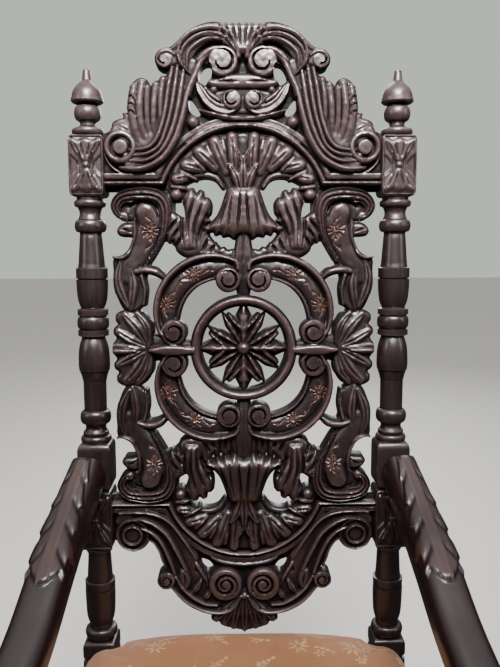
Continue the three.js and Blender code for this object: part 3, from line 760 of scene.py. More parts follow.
# %% The small scrolls under it, and the piercings
crest.form(whole([(6, 786), (18, 785), (32, 780), (44, 779), (47, 774), (38, 768), (20, 766), (6, 766)]), 6,
           17, 6)
crest.flute([(4, 775), (20, 776), (38, 775)], 1.4, 3)
crest.form(whole([(10, 772), (30, 766), (44, 768), (58, 774), (56, 764), (48, 750), (36, 738), (20, 733),
                  (6, 735)]), 5, 11, 5)
crest.stroke([(58, 774), (52, 762), (44, 751), (32, 743), (18, 741), (7, 747)], [2.5, 5, 5.5, 6, 6, 5],
             fluted(1, 0.3), 7, [15, 18, 19, 19, 18, 17])
crest.stroke([(48, 768), (40, 759), (30, 752)], [1.5, 3.5, 3], rounded, 7, [14, 16, 16])
crest.ball(37, 766, 5, 8, 15)
crest.volute(14, 753, 12, 100, -0.7, 20)
crest.stroke([(0, 731), (20, 732), (42, 737), (62, 743)], [5, 6, 5, 1.5], keeled, 3, [15, 17, 16, 11])
crest.stroke([(0, 724), (24, 723), (46, 717), (72, 700)], [3.5, 4, 4, 3], rounded, 3, 12)
crest.ball(64, 726, 8, 3, 17)
crest.hole([(38, 792), (42, 798), (50, 796), (56, 786), (56, 777), (48, 773), (42, 778)])
crest.hole([(54, 737), (60, 748), (66, 756), (69, 756), (69, 744), (66, 738), (58, 734)])
carve(crest, "crest_carving", "crest_rail")

# %% [markdown]
# ## The pierced splat
# The middle of the back is sawn from one board: a ring with a star of twelve leaves, four scrolls round
# it, leaves at each side, hooked scrolls at the corners, and a bell and a shell above and below. It is
# nearly the same upside down, so each part is drawn by one function, for the top and for the bottom.

# %% Drawing on either half of the splat
CENTRE_V = 434.5


class Half:
    """A drawing on one half of the splat; up is 1 for the top, and -1 for the bottom."""

    def __init__(self, board, up):
        self.board, self.up = board, up

    def at(self, v):
        return CENTRE_V + self.up * v

    def place(self, points):
        return [(x, self.at(v)) for x, v in points]

    def run(self, points, half, shape, low, high, **more):
        """Turning the drawing over swaps the two sides of a line, so its section is turned as well."""
        section = shape if self.up > 0 else (lambda s, t: shape(-s, t))
        self.board.stroke(self.place(points), half, section, low, high, **more)

    def ground(self, points, level):
        self.board.ground(self.place(points), level)

    def form(self, points, low, high, reach):
        self.board.form(self.place(points), low, high, reach)

    def flute(self, points, half=1.8, depth=3.5):
        self.board.flute(self.place(points), half, depth)

    def hole(self, points):
        self.board.hole(self.place(points))

    def turned(self, x, v, radii, levels):
        self.board.turned(x, self.at(v), radii, levels)

    def ball(self, x, v, radius, low, high):
        self.board.ball(x, self.at(v), radius, low, high)

    def volute(self, x, v, outer, start, turns, high):
        self.board.volute(x, self.at(v), outer, start * self.up, turns * self.up, high)

    def daisy(self, x, v, radius, turn=0.3):
        self.board.daisy(x, self.at(v), radius, turn=turn)


# %% The leaves at the middle of each side


def side_leaves(draw):
    """Broad lobes on one solid mass."""
    draw.form([(124, -4), (122, 14), (123, 32), (127, 43), (134, 48), (143, 49), (152, 51), (161, 50),
               (168, 45), (169, 37), (166, 32), (171, 27), (172, 20), (168, 14), (171, 8), (171, -4)], 6,
              13, 7)
    draw.run([(128, 4), (140, 26), (156, 44)], [6, 11, 7], plump, 7, [14, 18, 15])
    draw.run([(128, 2), (148, 12), (165, 22)], [5, 10, 7], plump, 7, [14, 18, 15])
    draw.run([(124, 8), (128, 30), (140, 46)], [5, 8, 5], plump, 7, [13, 17, 14])
    draw.run([(132, 0), (150, 1), (168, 3)], [5, 7, 6], rounded, 7, [15, 17, 14])


# %% The hooked scroll at the corner


def outer_scroll(draw):
    """One solid S, then its head, ridges and rims."""
    draw.form([(98, 204), (124, 205), (150, 205), (163, 200), (169, 189), (166, 177), (158, 170),
               (148, 166), (141, 165), (141, 150), (144, 136), (152, 124), (169, 119), (170, 100),
               (169, 82), (165, 66), (158, 52), (146, 47), (136, 52), (129, 62), (128, 78), (128, 92),
               (123, 108), (114, 126), (105, 144), (99, 160), (95, 182)], 5, 11, 5)
    draw.run([(126, 178), (121, 164), (125, 148), (131, 134), (138, 121), (147, 108), (152, 94)],
             [14, 16, 16, 15, 14, 13, 11], pillow, 6, [20, 18, 16, 15, 15, 15, 14])
    draw.run([(150, 171), (160, 175), (164, 186), (156, 196), (140, 199.5), (122, 199.5), (108, 195),
              (101, 182), (101, 166), (104, 150), (112, 133), (121, 117)],
             [4, 6, 7.5, 8.5, 9.5, 9.5, 9, 7.5, 5.5, 4, 3.4, 3], fluted(3, 0.36), 6,
             [17, 19, 20, 21, 21, 21, 20, 20, 19, 18, 17, 15])
    draw.run([(150, 182), (140, 190), (124, 191), (112, 184), (110, 168)], [1, 2.6, 3, 2.6, 1], rounded, 0,
             [0, 6, 7, 6, 0], cut=True)
    draw.turned(154, 173, [0, 4, 5.6, 6.8], [17, 16.5, 14, 8])
    draw.run([(141, 167), (140, 152), (143, 138), (150, 125)], [2, 2.8, 2.8, 2], rounded, 7, [16, 18, 18, 16])
    draw.run([(169, 120), (159, 119), (150, 124), (144, 134)], [1.5, 3.5, 4, 2], rounded, 7, [16, 19, 19, 16])
    draw.form([(141, 145), (150, 146), (160, 147), (164, 154), (159, 162), (150, 165), (141, 162)], 6, 16, 6)
    draw.flute([(143, 150), (150, 155), (160, 157)], 1.4, 3)
    draw.run([(158, 116), (163, 98), (161, 78), (152, 56)], [4, 7, 8, 4], plump, 7, [15, 18, 18, 15])
    draw.run([(147, 102), (144, 84), (146, 66), (148, 52)], [5, 8, 7, 4], plump, 7, [15, 17, 17, 14])
    draw.run([(140, 101), (128, 103.5), (114, 101), (102, 92)], [5, 6, 6, 4], rounded, 5, [16, 18, 18, 14])
    draw.run([(133, 96), (129, 78), (131, 58)], [3.5, 3, 3], rounded, 5, [16, 15, 13])


# %% The acanthus above the inner scroll


def side_acanthus(draw):
    """One curling leaf, its hanging side lobes and a small leaf below."""
    draw.ground([(88, 132), (97, 140), (108, 140), (106, 165), (100, 205), (80, 206), (79, 197), (89, 191),
                 (89, 176), (80, 170)], 7)
    draw.form([(104, 172), (102, 158), (101, 146), (97, 137), (92, 141), (86, 126), (70, 118), (46, 124),
               (34, 134), (44, 150), (40, 156), (52, 160), (60, 168), (76, 178), (82, 174), (92, 180)], 5,
              15, 9)
    draw.form([(58, 128), (56, 150), (49, 161), (41, 164), (37, 159), (42, 168), (45, 171), (41, 177),
               (40, 190), (45, 197), (49, 197), (50, 204), (56, 207), (60, 203), (64, 209), (71, 207),
               (77, 200), (79, 188), (77, 172), (82, 150), (80, 128)], 5, 21, 12)
    draw.form([(62, 122), (58, 139), (52, 143), (46, 150), (41, 144), (34, 138), (29, 132), (30, 122),
               (46, 118)], 4, 15, 7)
    for vein in ([(76, 128), (80, 160), (76, 186), (69, 205)], [(70, 130), (72, 162), (66, 186), (59, 203)],
                 [(64, 132), (63, 160), (56, 180), (50, 194)], [(58, 136), (55, 156), (49, 170), (43, 184)],
                 [(84, 172), (93, 160), (101, 150)], [(82, 160), (89, 150), (95, 142)],
                 [(80, 148), (85, 138), (88, 130)], [(62, 146), (53, 154), (42, 160)],
                 [(56, 126), (50, 134), (46, 146)], [(44, 126), (40, 132), (36, 137)]):
        draw.flute(vein, 2.4, 5)
    draw.hole([(88, 191), (80, 190), (76, 180), (76, 172), (82, 174), (87, 183)])
    draw.ball(86, 200, 9.5, 4, 18)


# %% The scroll round the ring


def inner_scroll(draw):
    """A band, two volutes, and daisies in the field."""
    band = arc_line(35, 41.5, 66.5, 104, -12, 60)
    draw.run(band, [15, 18, 19.5, 20, 20, 19.5, 18, 15], framed, 2, [19, 20, 20, 20, 20, 19, 18], exact=True)
    draw.volute(20, 90.5, 16.5, 45, 0.95, 19)
    draw.volute(92, 21, 17.5, 20, -0.95, 18)
    for vine in ([(99, 40), (104, 50), (98, 68), (88, 78)], [(90, 76), (82, 90), (70, 92), (58, 104)],
                 [(56, 96), (48, 102), (38, 102)],
                 [(126, 172), (116, 162), (124, 150), (118, 138), (128, 128)]):
        draw.run(vine, [0.5, 0.9, 0.9, 0.5], rounded, 0, 1.4, cut=True, dust=0.7)
    for x, v in ((104, 48), (93, 72), (84, 84), (48, 102), (122, 142), (127, 130)):
        draw.run([(x, v), (x - 4, v + 4)], [0.5, 1.3, 0.4], rounded, 0, 1.6, cut=True, dust=0.6)
    draw.daisy(101, 59, 13.5)
    draw.daisy(66, 98, 12.5, turn=0.1)
    draw.daisy(120, 155, 12.5, turn=0.5)


# %% The shell in the arch


def shell(draw):
    """Broad ribbed lobes over a smooth hollow lip."""
    draw.form(whole([(22, 204), (25, 216), (34, 226), (50, 231), (66, 226), (80, 213), (88, 204), (98, 202),
                     (98, 214), (90, 236), (75, 252), (57, 266), (34, 275), (8, 279)]), 3, 9, 5)
    for root, tip, half in (((10, 222), (14, 272), 8), ((22, 230), (36, 266), 9), ((36, 235), (56, 254), 9),
                            ((54, 233), (73, 238), 8.5), ((70, 222), (86, 220), 7.5)):
        mid = ((root[0] + tip[0]) / 2, (root[1] + tip[1]) / 2)
        draw.run([root, mid, tip], [half * 0.8, half * 1.1, half], plump, 7, [13, 18, 17])
    for x, v in ((26, 268), (46, 260), (65, 246), (80, 229), (91, 210)):
        draw.run([(x * 0.72 + 3, 200 + (v - 200) * 0.66), (x, v)], [2, 4, 3.5], rounded, 7, [14, 18, 15])
    draw.run([(92, 203), (82, 213), (67, 222), (50, 226), (35, 222), (26, 210)], [3, 4.5, 5, 5, 4.5, 3],
             rounded, 3, [7, 9, 9, 9, 8, 7])


# %% The bell under the shell


def bell(draw):
    """The centre leaf, the bell and the piercings beside it."""
    draw.run([(0, 66), (0, 100), (0, 128), (0, 146)], [8, 12, 14, 10], pillow, 3, [10, 15, 17, 15])
    calyx = [(0, 122), (10, 125), (13, 131), (20, 130), (25, 134), (31, 133), (36, 140), (46, 124),
             (40, 112), (16, 112)]
    if draw.up < 0:
        calyx = [(0, 120), (6, 140), (12, 150), (18, 142), (24, 151), (31, 143), (38, 152), (46, 124),
                 (40, 112), (16, 112)]
    draw.form(calyx, 4, 12, 6)
    if draw.up < 0:
        for x in (16, 24, 32):
            draw.flute([(x, 118), (x + 1, 132), (x - 1, 146)], 1.8, 3)
    draw.run([(0, 72), (0, 110), (0, 150)], [1.5, 2.5, 1.5], rounded, 4, [12, 19, 19])
    draw.form(whole([(10, 212), (17, 211), (22, 205), (26, 194), (30, 183), (35, 173), (43, 165), (53, 158),
                     (48, 151), (40, 152), (37, 147), (30, 149), (27, 145), (19, 146), (12, 142),
                     (6, 147)]), 6, 24, 15)
    draw.flute([(4, 210), (5, 184), (8, 150)], 2, 5)
    draw.flute([(13, 204), (17, 182), (20, 150)], 1.6, 3)
    draw.flute([(19, 200), (26, 178), (34, 154)], 1.8, 4)
    draw.flute([(36, 170), (42, 162), (47, 155)], 1.6, 3)
    draw.run([(4, 206), (9, 224), (18, 238)], [6, 8, 3], plump, 6, [20, 22, 18])
    draw.run([(0, 206), (0, 230), (0, 248)], [6, 8, 3], plump, 6, [20, 24, 18])
    draw.run([(3, 236), (6, 252), (14, 264)], [4, 5, 2], plump, 6, [16, 20, 17])
    draw.hole([(76, 206), (66, 214), (50, 218), (37, 213), (27, 203), (30, 187), (35, 176), (40, 173),
               (40, 190), (45, 198), (49, 198), (50, 205), (56, 208), (60, 204), (64, 210), (71, 208)])
    if draw.up > 0:
        draw.hole([(36, 145), (28, 142), (20, 141.5), (12, 138), (13, 133), (22, 134), (32, 138)])


# %% Drawing both halves
splat = Board(173, 155, 714, STEP)
splat.stroke([(66, CENTRE_V), (80, CENTRE_V), (96, CENTRE_V), (118, CENTRE_V), (171, CENTRE_V)],
             [9, 13, 18, 13, 8], pillow, 3, [13, 11, 10, 12, 14])
for up in (1, -1):
    for draw_part in (side_leaves, outer_scroll, side_acanthus, inner_scroll, shell, bell):
        draw_part(Half(splat, up))
splat.stroke([(68, CENTRE_V - 2), (82, CENTRE_V - 2), (112, CENTRE_V - 2), (122, CENTRE_V - 2)], [5, 8, 8, 3],
             pillow, 8, 21)
splat.stroke([(142, CENTRE_V - 2), (154, CENTRE_V - 3), (168, CENTRE_V - 3)], [3, 5.5, 5], rounded, 8, 20)

# %% The ring and its star of twelve leaves
splat.turned(0, CENTRE_V, [55.5, 57.5, 59.5, 62.5, 65.5, 68, 69.6, 70.6],
             [5, 12, 16, 18.6, 18.8, 17, 13.5, 9])
for k in range(12):
    angle = (0, 31, 59)[k % 3] + 90 * (k // 3)
    reach, half = ((61, 11), (53, 6.5), (53, 6.5))[k % 3]
    a = radians(angle)
    star_leaf = [(r * cos(a), CENTRE_V + r * sin(a)) for r in (6, reach * 0.4, reach * 0.75, reach)]
    splat.stroke(star_leaf, [2.5, half * 0.8, half, 2], keeled, 1,
                 [11, 13, 14, 8] if k % 3 else [13, 17, 17, 10])
    if k % 3 == 0:
        for turn in (0, 0.42, -0.42):
            side = [(reach * 0.36 * cos(a), CENTRE_V + reach * 0.36 * sin(a)),
                    (reach * 0.78 * cos(a + turn), CENTRE_V + reach * 0.78 * sin(a + turn))]
            splat.stroke(side, [4, 5.5, 3.5], keeled, 1, [14, 16, 14])
splat.ball(0, CENTRE_V, 8.5, 10, 19)
splat.turned(0, CENTRE_V, [0, 2.5, 3.5], [14, 14, 18])
carve(splat, "splat_carving", "splat")

# %% [markdown]
# ## The bottom rail
# Below the splat the arch is turned over. A broad scroll with deep coves sweeps from a side volute down
# to a second volute beside the middle, where a small shell hangs.

# %% Drawing the bottom rail
rail = Board(183, 36, 234, STEP)
rail.ground([(0, 160), (0, 84), (34, 84), (90, 108), (112, 150), (128, 168), (150, 160), (182, 170),
             (182, 214), (100, 218), (84, 194), (40, 164)], 2)
arch_rail(rail, 219.5, 258, 110, -1)
rail.form([(177, 196), (166, 210), (126, 212), (102, 203), (84, 182), (70, 160), (62, 142), (72, 118),
           (96, 122), (108, 134), (111, 142), (114, 154), (122, 166), (132, 172), (150, 165), (170, 180)],
          3, 10, 5)
rail.stroke([(170, 208), (142, 210), (121, 207), (103, 197), (89, 180), (75, 158), (66, 142)],
            [2, 3, 3, 3, 3, 3, 2], rounded, 5, [12, 15, 16, 16, 16, 15, 12])
rail.stroke([(152, 200), (136, 200), (119, 192), (105, 179), (95, 161), (87, 144), (80, 128)],
            [2, 3.6, 4, 4, 4, 3.6, 3], rounded, 5, [15, 19, 20, 20, 20, 19, 17])
rail.stroke([(140, 188), (126, 182), (115, 171), (106, 154), (100, 138), (95, 122)],
            [2, 3.6, 4, 4, 3.6, 3], rounded, 5, [15, 18, 19, 19, 18, 16])
rail.stroke([(133, 172), (123, 167), (115, 155), (111, 142), (108, 134)], [1.5, 2.5, 2.8, 2.8, 2], rounded, 5,
            [14, 16, 17, 17, 16])

# %% The bottom rail's side volute, hook and inner volute
rail.turned(152, 178, [0, 8.5, 9.5, 11.5, 13.5, 14.5, 17, 21, 24], [12, 11.5, 8, 17, 16.5, 6, 9, 15, 8])
rail.form([(101, 112), (100, 102), (91, 91), (80, 81), (70, 73), (58, 67), (46, 63), (30, 62), (16, 67),
           (8, 76), (2, 92), (10, 118), (30, 128), (50, 118), (70, 128), (92, 126)], 3, 10, 5)
rail.stroke([(100, 104), (90, 93), (78, 82), (62, 73), (45, 68), (28, 68), (14, 75), (5, 90)],
            [2.5, 3.6, 4, 4.2, 4.2, 4.2, 4, 3], rounded, 5, [15, 18, 19, 19, 19, 19, 18, 16])
rail.stroke([(94, 118), (84, 102), (70, 89), (54, 80), (38, 77)], [3, 3.6, 3.8, 3.6, 2.5], rounded, 5,
            [15, 18, 18, 18, 15])
rail.form([(89, 130), (79, 131), (73, 120), (73, 106), (80, 98), (87, 104), (92, 118)], 6, 16, 7)
rail.flute([(84, 126), (81, 116), (80, 104)], 1.4, 3)
rail.volute(107, 114, 12.5, 60, -1.3, 18, 0.3)
rail.volute(26, 107, 23, 255, -1.9, 18, 0.22)
rail.stroke([(72, 94), (66, 102), (60, 112)], [3, 6, 3], plump, 5, [14, 18, 15])
rail.stroke([(58, 84), (51, 92), (46, 101)], [3, 6, 3], plump, 5, [12, 18, 15])
rail.stroke([(66, 136), (60, 126), (54, 116), (50, 104)], [4, 4, 4, 3], rounded, 3, [12, 14, 14, 12])
rail.stroke([(0, 134), (16, 135), (32, 138), (44, 144)], [3, 4, 4, 3], rounded, 3, 11)

# %% The hanging shell, and the piercings
rail.form(whole([(8, 88), (20, 78), (36, 66), (45, 60), (46, 54), (40, 50), (33, 51), (30, 45), (22, 42),
                 (15, 44), (9, 39)]), 3, 12, 5)
for x, v in ((0, 43), (15, 46), (28, 51), (39, 57)):
    rail.stroke([(x * 0.25, 88), (x * 0.7, 68), (x, v)], [4, 8, 6.5], plump, 4, [13, 17, 15])
rail.ball(0, 90, 7, 4, 16)
rail.hole([(60, 141), (48, 136), (42, 126), (50, 121), (58, 128)])
carve(rail, "bottom_rail_carving", "lower_back_rail")

# %% [markdown]
# ## Turned work with Geometry Nodes
# Posts and legs come off a lathe: a spindle is one profile turned about a line. The profile is written
# as a turner would call it out, bead, cove and taper, and becomes points along the line that know their
# own girth. A small node tree draws a circle of that girth at each point and joins them into a skin.

# %% The turner's cuts, as lists of (height, radius)


def bead(bottom, top, edge, crown, count=12):
    """A half-round ring."""
    turn = np.linspace(0, pi, count)
    middle, reach = (bottom + top) / 2, (top - bottom) / 2
    return np.c_[middle - reach * np.cos(turn), edge + (crown - edge) * np.sin(turn) ** 0.8]


def taper(bottom, top, start, stop, swell=0.0, count=8):
    """A straight or swelling length."""
    t = np.linspace(0, 1, count)
    return np.c_[bottom + (top - bottom) * t, start + (stop - start) * t + swell * np.sin(pi * t)]


def cove(bottom, top, start, stop, depth, count=8):
    return taper(bottom, top, start, stop, -depth, count)


def drawn(*points):
    """A length that follows the points smoothly."""
    return smooth_line(points, 2.5)


def profile(*cuts):
    """Joins the cuts, and keeps every height above the last."""
    line = np.vstack(cuts)
    for k in range(1, len(line)):
        line[k, 0] = max(line[k, 0], line[k - 1, 0] + 0.05)
    return line


# %% The lathe: a node tree that gives each line of points its round skin


def build_lathe():
    tree = bpy.data.node_groups.new("lathe", "GeometryNodeTree")
    for name, kind in (("Lines", "NodeSocketGeometry"), ("Sides", "NodeSocketInt"),
                       ("Wood", "NodeSocketMaterial")):
        tree.interface.new_socket(name, in_out="INPUT", socket_type=kind)
    tree.interface.new_socket("Turned", in_out="OUTPUT", socket_type="NodeSocketGeometry")
    source = tree.nodes.new("NodeGroupInput")
    result = tree.nodes.new("NodeGroupOutput")
    node = {}
    for key, kind in (("curve", "MeshToCurve"), ("skin", "CurveToMesh"), ("circle", "CurvePrimitiveCircle"),
                      ("girth", "InputNamedAttribute"), ("real", "RealizeInstances"),
                      ("wood", "SetMaterial")):
        node[key] = tree.nodes.new("GeometryNode" + kind)
    node["girth"].data_type = "FLOAT"
    node["girth"].inputs["Name"].default_value = "girth"
    node["circle"].inputs["Radius"].default_value = 1.0
    node["skin"].inputs["Fill Caps"].default_value = True
    for start, stop in (
        (source.outputs["Lines"], node["curve"].inputs["Mesh"]),
        (source.outputs["Sides"], node["circle"].inputs["Resolution"]),
        (node["curve"].outputs["Curve"], node["skin"].inputs["Curve"]),
        (node["circle"].outputs["Curve"], node["skin"].inputs["Profile Curve"]),
        (node["girth"].outputs["Attribute"], node["skin"].inputs["Scale"]),
        (node["skin"].outputs["Mesh"], node["real"].inputs["Geometry"]),
        (node["real"].outputs["Geometry"], node["wood"].inputs["Geometry"]),
        (source.outputs["Wood"], node["wood"].inputs["Material"]),
        (node["wood"].outputs["Geometry"], result.inputs["Turned"]),
    ):
        tree.links.new(start, stop)
    return tree


LATHE = build_lathe()
SIDES = 40
print("the lathe has", len(LATHE.nodes), "nodes and turns", SIDES, "sides")


def turned(name, place, *profiles):
    """A turned mesh; place(height) gives the point of its axis at that height."""
    points, edges, girth, hollow = [], [], [], []
    for line in profiles:
        base = len(points)
        points += [place(height) for height, _ in line]
        edges += [(base + k, base + k + 1) for k in range(len(line) - 1)]
        radius = line[:, 1]
        girth += list(radius * MM)
        even = np.arange(line[0, 0], line[-1, 0], 0.5)
        value = np.interp(even, line[:, 0], radius)
        smooth = np.convolve(np.pad(value, 12, "edge"), np.hanning(25) / np.hanning(25).sum(), "valid")
        hollow += list(np.interp(line[:, 0], even, value - smooth))
    mesh = bpy.data.meshes.new(name)
    mesh.from_pydata([tuple(p) for p in points], edges, [])
    write_values(mesh, "girth", girth)
    write_values(mesh, "high", np.clip(np.array(hollow) / 2.2, 0, 1))
    write_values(mesh, "deep", np.clip(-np.array(hollow) / 2.2, 0, 1))
    thing = object_of(name + "_line", mesh)
    lathe = thing.modifiers.new("lathe", "NODES")
    lathe.node_group = LATHE
    for item in LATHE.interface.items_tree:
        if item.item_type == "SOCKET" and item.in_out == "INPUT":
            if item.name == "Sides":
                lathe[item.identifier] = SIDES
            elif item.name == "Wood":
                lathe[item.identifier] = wood_upright
    return plain_mesh(thing)


# %% [markdown]
# ## The square parts
# Between the turnings the posts stay square, with the shoulders the turner leaves. Each square part is
# a tube of rings: the outline of a rounded square, once for every step up. On the front of two of them
# a flower of four crossed leaves is carved, taken from a height drawing as before.

# %% Square tubes, and the crossed leaves


def square_ring(half_x, half_y, corner, front=2):
    """An anticlockwise rounded square, starting at its front left corner."""
    xs = np.linspace(-half_x + corner, half_x - corner, front)
    turn = np.radians(np.linspace(-90, 0, 5))
    bend = np.c_[half_x - corner + corner * np.cos(turn), -half_y + corner + corner * np.sin(turn)]
    front_edge = np.c_[xs, np.full(front, -half_y)]
    other = np.vstack([bend[1:], bend[::-1] * (1, -1)])
    left = np.c_[-other[:, 0], other[:, 1]][::-1]
    return np.vstack([front_edge, other, left[:-1]])


def tube(rings):
    """Points and faces of a closed skin through the rings."""
    rings = np.asarray(rings)
    rows, around = rings.shape[:2]
    base = np.arange(rows * around).reshape(rows, around)
    turned_on = np.roll(base, -1, axis=1)
    faces = np.stack([base[:-1], turned_on[:-1], turned_on[1:], base[1:]], axis=-1).reshape(-1, 4).tolist()
    faces += [base[0][::-1].tolist(), base[-1].tolist()]
    return rings.reshape(-1, 3), faces


def shoulders(v, bottom, top, half, neck, run):
    """Half-width of a square part that narrows to a neck at both ends."""
    t = np.clip(np.minimum(v - bottom, top - v) / run, 0, 1)
    return neck + (half - neck) * np.sqrt(1 - (1 - t) ** 2)


FIELD = 2.2


def crossed_leaves():
    """Broad leaves from a button to the corners, with a scooped hollow at each side."""
    flower = Board(22, -39, 39, 0.8)
    flower.ground([(0, -38), (21.5, -38), (21.5, 38), (0, 38)], FIELD)
    for up in (1, -1):
        flower.form([(-3, 3 * up), (3, 3 * up), (9, 11 * up), (15, 20 * up), (19.5, 29 * up), (17, 34 * up),
                     (9, 31 * up), (0, 34 * up), (-9, 31 * up), (-17, 34 * up), (-19.5, 29 * up),
                     (-15, 20 * up), (-9, 11 * up)], FIELD, 5.2, 6)
        flower.flute([(2, 7 * up), (4, 18 * up), (6, 31 * up)], 1.4, 2.4)
        flower.flute([(6, 11 * up), (11, 20 * up), (16, 31 * up)], 1.2, 1.8)
    flower.stroke([(23, 10), (15, 0), (23, -10)], 5.5, rounded, 0, 3.6, cut=True)
    flower.stroke([(8, 15), (7, 0), (8, -15)], [1, 2.4, 1], rounded, 0, 2.2, cut=True)
    flower.ball(0, 0, 4.4, 3.0, 6.0)
    return flower


FLOWER = crossed_leaves()
print("the flower rises %.1f mm over its field" % (FLOWER.height.max() - FIELD))
HALF_BLOCK = 22.0
FRONT_POINTS = 44
FLOWER_SINK = 4.6
BLOCK_CORNER = 1.6


def post_block(x, bottom, top, run, neck=17.0, carved=False):
    """A square part of a back post, with the flower on its front if it is carved."""
    between = np.arange(bottom + run, top - run, 1.1 if carved else 12)
    v = np.unique(np.r_[np.linspace(bottom, bottom + run, 7), between, np.linspace(top - run, top, 7)])
    rings = []
    for height in v:
        half = shoulders(height, bottom, top, HALF_BLOCK, neck, run)
        ring = square_ring(half, half, BLOCK_CORNER, FRONT_POINTS if carved else 2)
        n = -ring[:, 1].copy()
        if carved:
            on_front = np.arange(len(ring)) < FRONT_POINTS
            u = ring[:, 0] / half * HALF_BLOCK
            w = np.full(len(u), height - (bottom + top) / 2)
            cut = sample(FLOWER, np.maximum(FLOWER.height, 0), u, w) - FLOWER_SINK
            to_side, to_end = HALF_BLOCK - 1 - np.abs(u), (top - bottom) / 2 - 3 - np.abs(w)
            edge = np.clip(np.minimum(to_side / 2.5, to_end), 0, 1)
            n += np.where(on_front, cut * edge, 0)
        rings.append(on_back(x + ring[:, 0], height, n))
    return tube(rings)


def rear_leg(x):
    """Below the seat the post runs down square, tapering and kicked back at the foot."""
    rings = []
    for z in (0, 6, 20, 60, 110, 160, 210, 260, 300, 330, 370, 403):
        kick = 38 * max(0, 1 - z / 314) ** 1.4
        half = np.interp(z, [0, 314], [15, HALF_BLOCK])
        ring = square_ring(half, half, 2.0)
        low = on_back(0, z - HINGE / MM, 0)[1] if z > 314 else POST_LINE
        rings.append(np.c_[(x + ring[:, 0]) * MM, low + (kick + ring[:, 1]) * MM, np.full(len(ring), z * MM)])
    return tube(rings)


# %% [markdown]
# ## The back posts
# From the seat up: a torus and a barrel, a carved block where the bottom rail is let in, a plain block
# that takes the arm, a long stack of turnings, another carved block at the crest, and a pointed finial.

# %% Turning and joining the posts
LOWER_POST = profile(taper(26, 30, 17, 17), bead(30, 44, 17, 22), taper(44.5, 50, 15.5, 15),
                     drawn((50, 15), (54, 17.2), (62, 19), (76, 20), (99, 20.5)),
                     taper(99.4, 100.6, 18.6, 18.6, 0, 2), taper(101, 111.5, 20, 20.6),
                     taper(112, 118, 17.4, 17), taper(118, 152, 17, 15.2), bead(152.5, 159.5, 15.5, 18))
UPPER_POST = profile(taper(304, 306, 17, 17, 0, 2), bead(306, 316, 16, 20.5), bead(316.5, 322, 15.5, 17.2),
                     cove(322.5, 331, 15, 14.5, 1.2), bead(332, 350, 15.5, 20.5),
                     taper(350.5, 391, 15, 15.2), cove(391.5, 402.5, 16, 19, 0.6),
                     taper(402.8, 404, 17.6, 17.6, 0, 2), taper(404.4, 411, 20, 20.6),
                     drawn((411.5, 20.7), (424, 20.4), (433, 19.6), (440, 18.2), (445, 16.6), (449, 15)),
                     taper(450, 451, 17, 19.6, 0, 2), taper(451.2, 458.5, 20, 20),
                     taper(459, 460, 17.8, 17.8, 0, 2), bead(460.4, 476, 18, 20.8),
                     taper(476.4, 478, 17.8, 17.8, 0, 2), taper(478.4, 486, 20, 20),
                     taper(487, 488, 17, 15.4, 0, 2),
                     drawn((488.5, 15.2), (492, 17), (499, 18.9), (510, 20.1), (525, 20.6)),
                     taper(525.4, 526.8, 18.4, 18.4, 0, 2), taper(527.2, 540, 20.6, 20.6),
                     taper(541, 546, 18, 17, 0, 3),
                     taper(547, 582, 17, 14.4), taper(582.5, 586.5, 14.2, 14.2, 0, 3),
                     bead(587, 603, 15.5, 20.6), cove(603.5, 619, 16, 16, 2.4),
                     bead(619.5, 628.5, 17, 20.5), taper(629, 636, 17, 17, 0, 2))
FINIAL = profile(taper(706, 710.5, 17, 17, 0, 2), bead(710.8, 719.4, 17, 20.6), cove(720, 728, 14, 11, 2.6),
                 bead(728.5, 748, 10.5, 17.2), taper(748.4, 751, 10, 10.4, 0, 3),
                 taper(751.3, 753, 18.6, 20.4, 0, 2), taper(753.4, 757, 20.8, 20.6, 0, 3),
                 taper(757.5, 779, 19.6, 6.6, 3.6), taper(779.5, 792, 6.2, 4.6),
                 taper(792.3, 794.3, 4.2, 1.5, 0.6, 4))


def join_meshes(name, meshes):
    """One mesh from several, with the values stored on their points."""
    things = [object_of(name + "_part", mesh) for mesh in meshes]
    with bpy.context.temp_override(active_object=things[0], object=things[0], selected_objects=things,
                                   selected_editable_objects=things):
        bpy.ops.object.join()
    mesh = things[0].data
    bpy.data.objects.remove(things[0])
    return mesh


def shaped(name, part):
    """A mesh from points and faces, which knows where it is worn and where it is hollow."""
    mesh = mesh_of(name, *part)
    relief_by_shape(mesh)
    return mesh


for side_name, sign in (("right", 1), ("left", -1)):
    x = sign * POST_X
    parts = [turned("post", lambda v: on_back(x, v, 0), LOWER_POST, UPPER_POST, FINIAL),
             shaped("leg", rear_leg(x)), shaped("foot_block", post_block(x, 4, 28, 6, 17)),
             shaped("low_block", post_block(x, 160, 242, 8, 17, True)),
             shaped("arm_block", post_block(x, 244, 307, 10, 17)),
             shaped("top_block", post_block(x, 632, 710, 8, 17, True))]
    piece("post_" + side_name, join_meshes("post", parts), wood_upright, "dark_wood",
          "back_post_" + side_name, shape_values=False, smooth=32)

# %% [markdown]
# ## The front legs and the rails that join them
# The same lathe makes the legs under the arms. Rails stay plain boards: a copy of each plain solid gets
# its corners merged and its edges eased with a bevel, because no hand-planed edge is razor sharp.

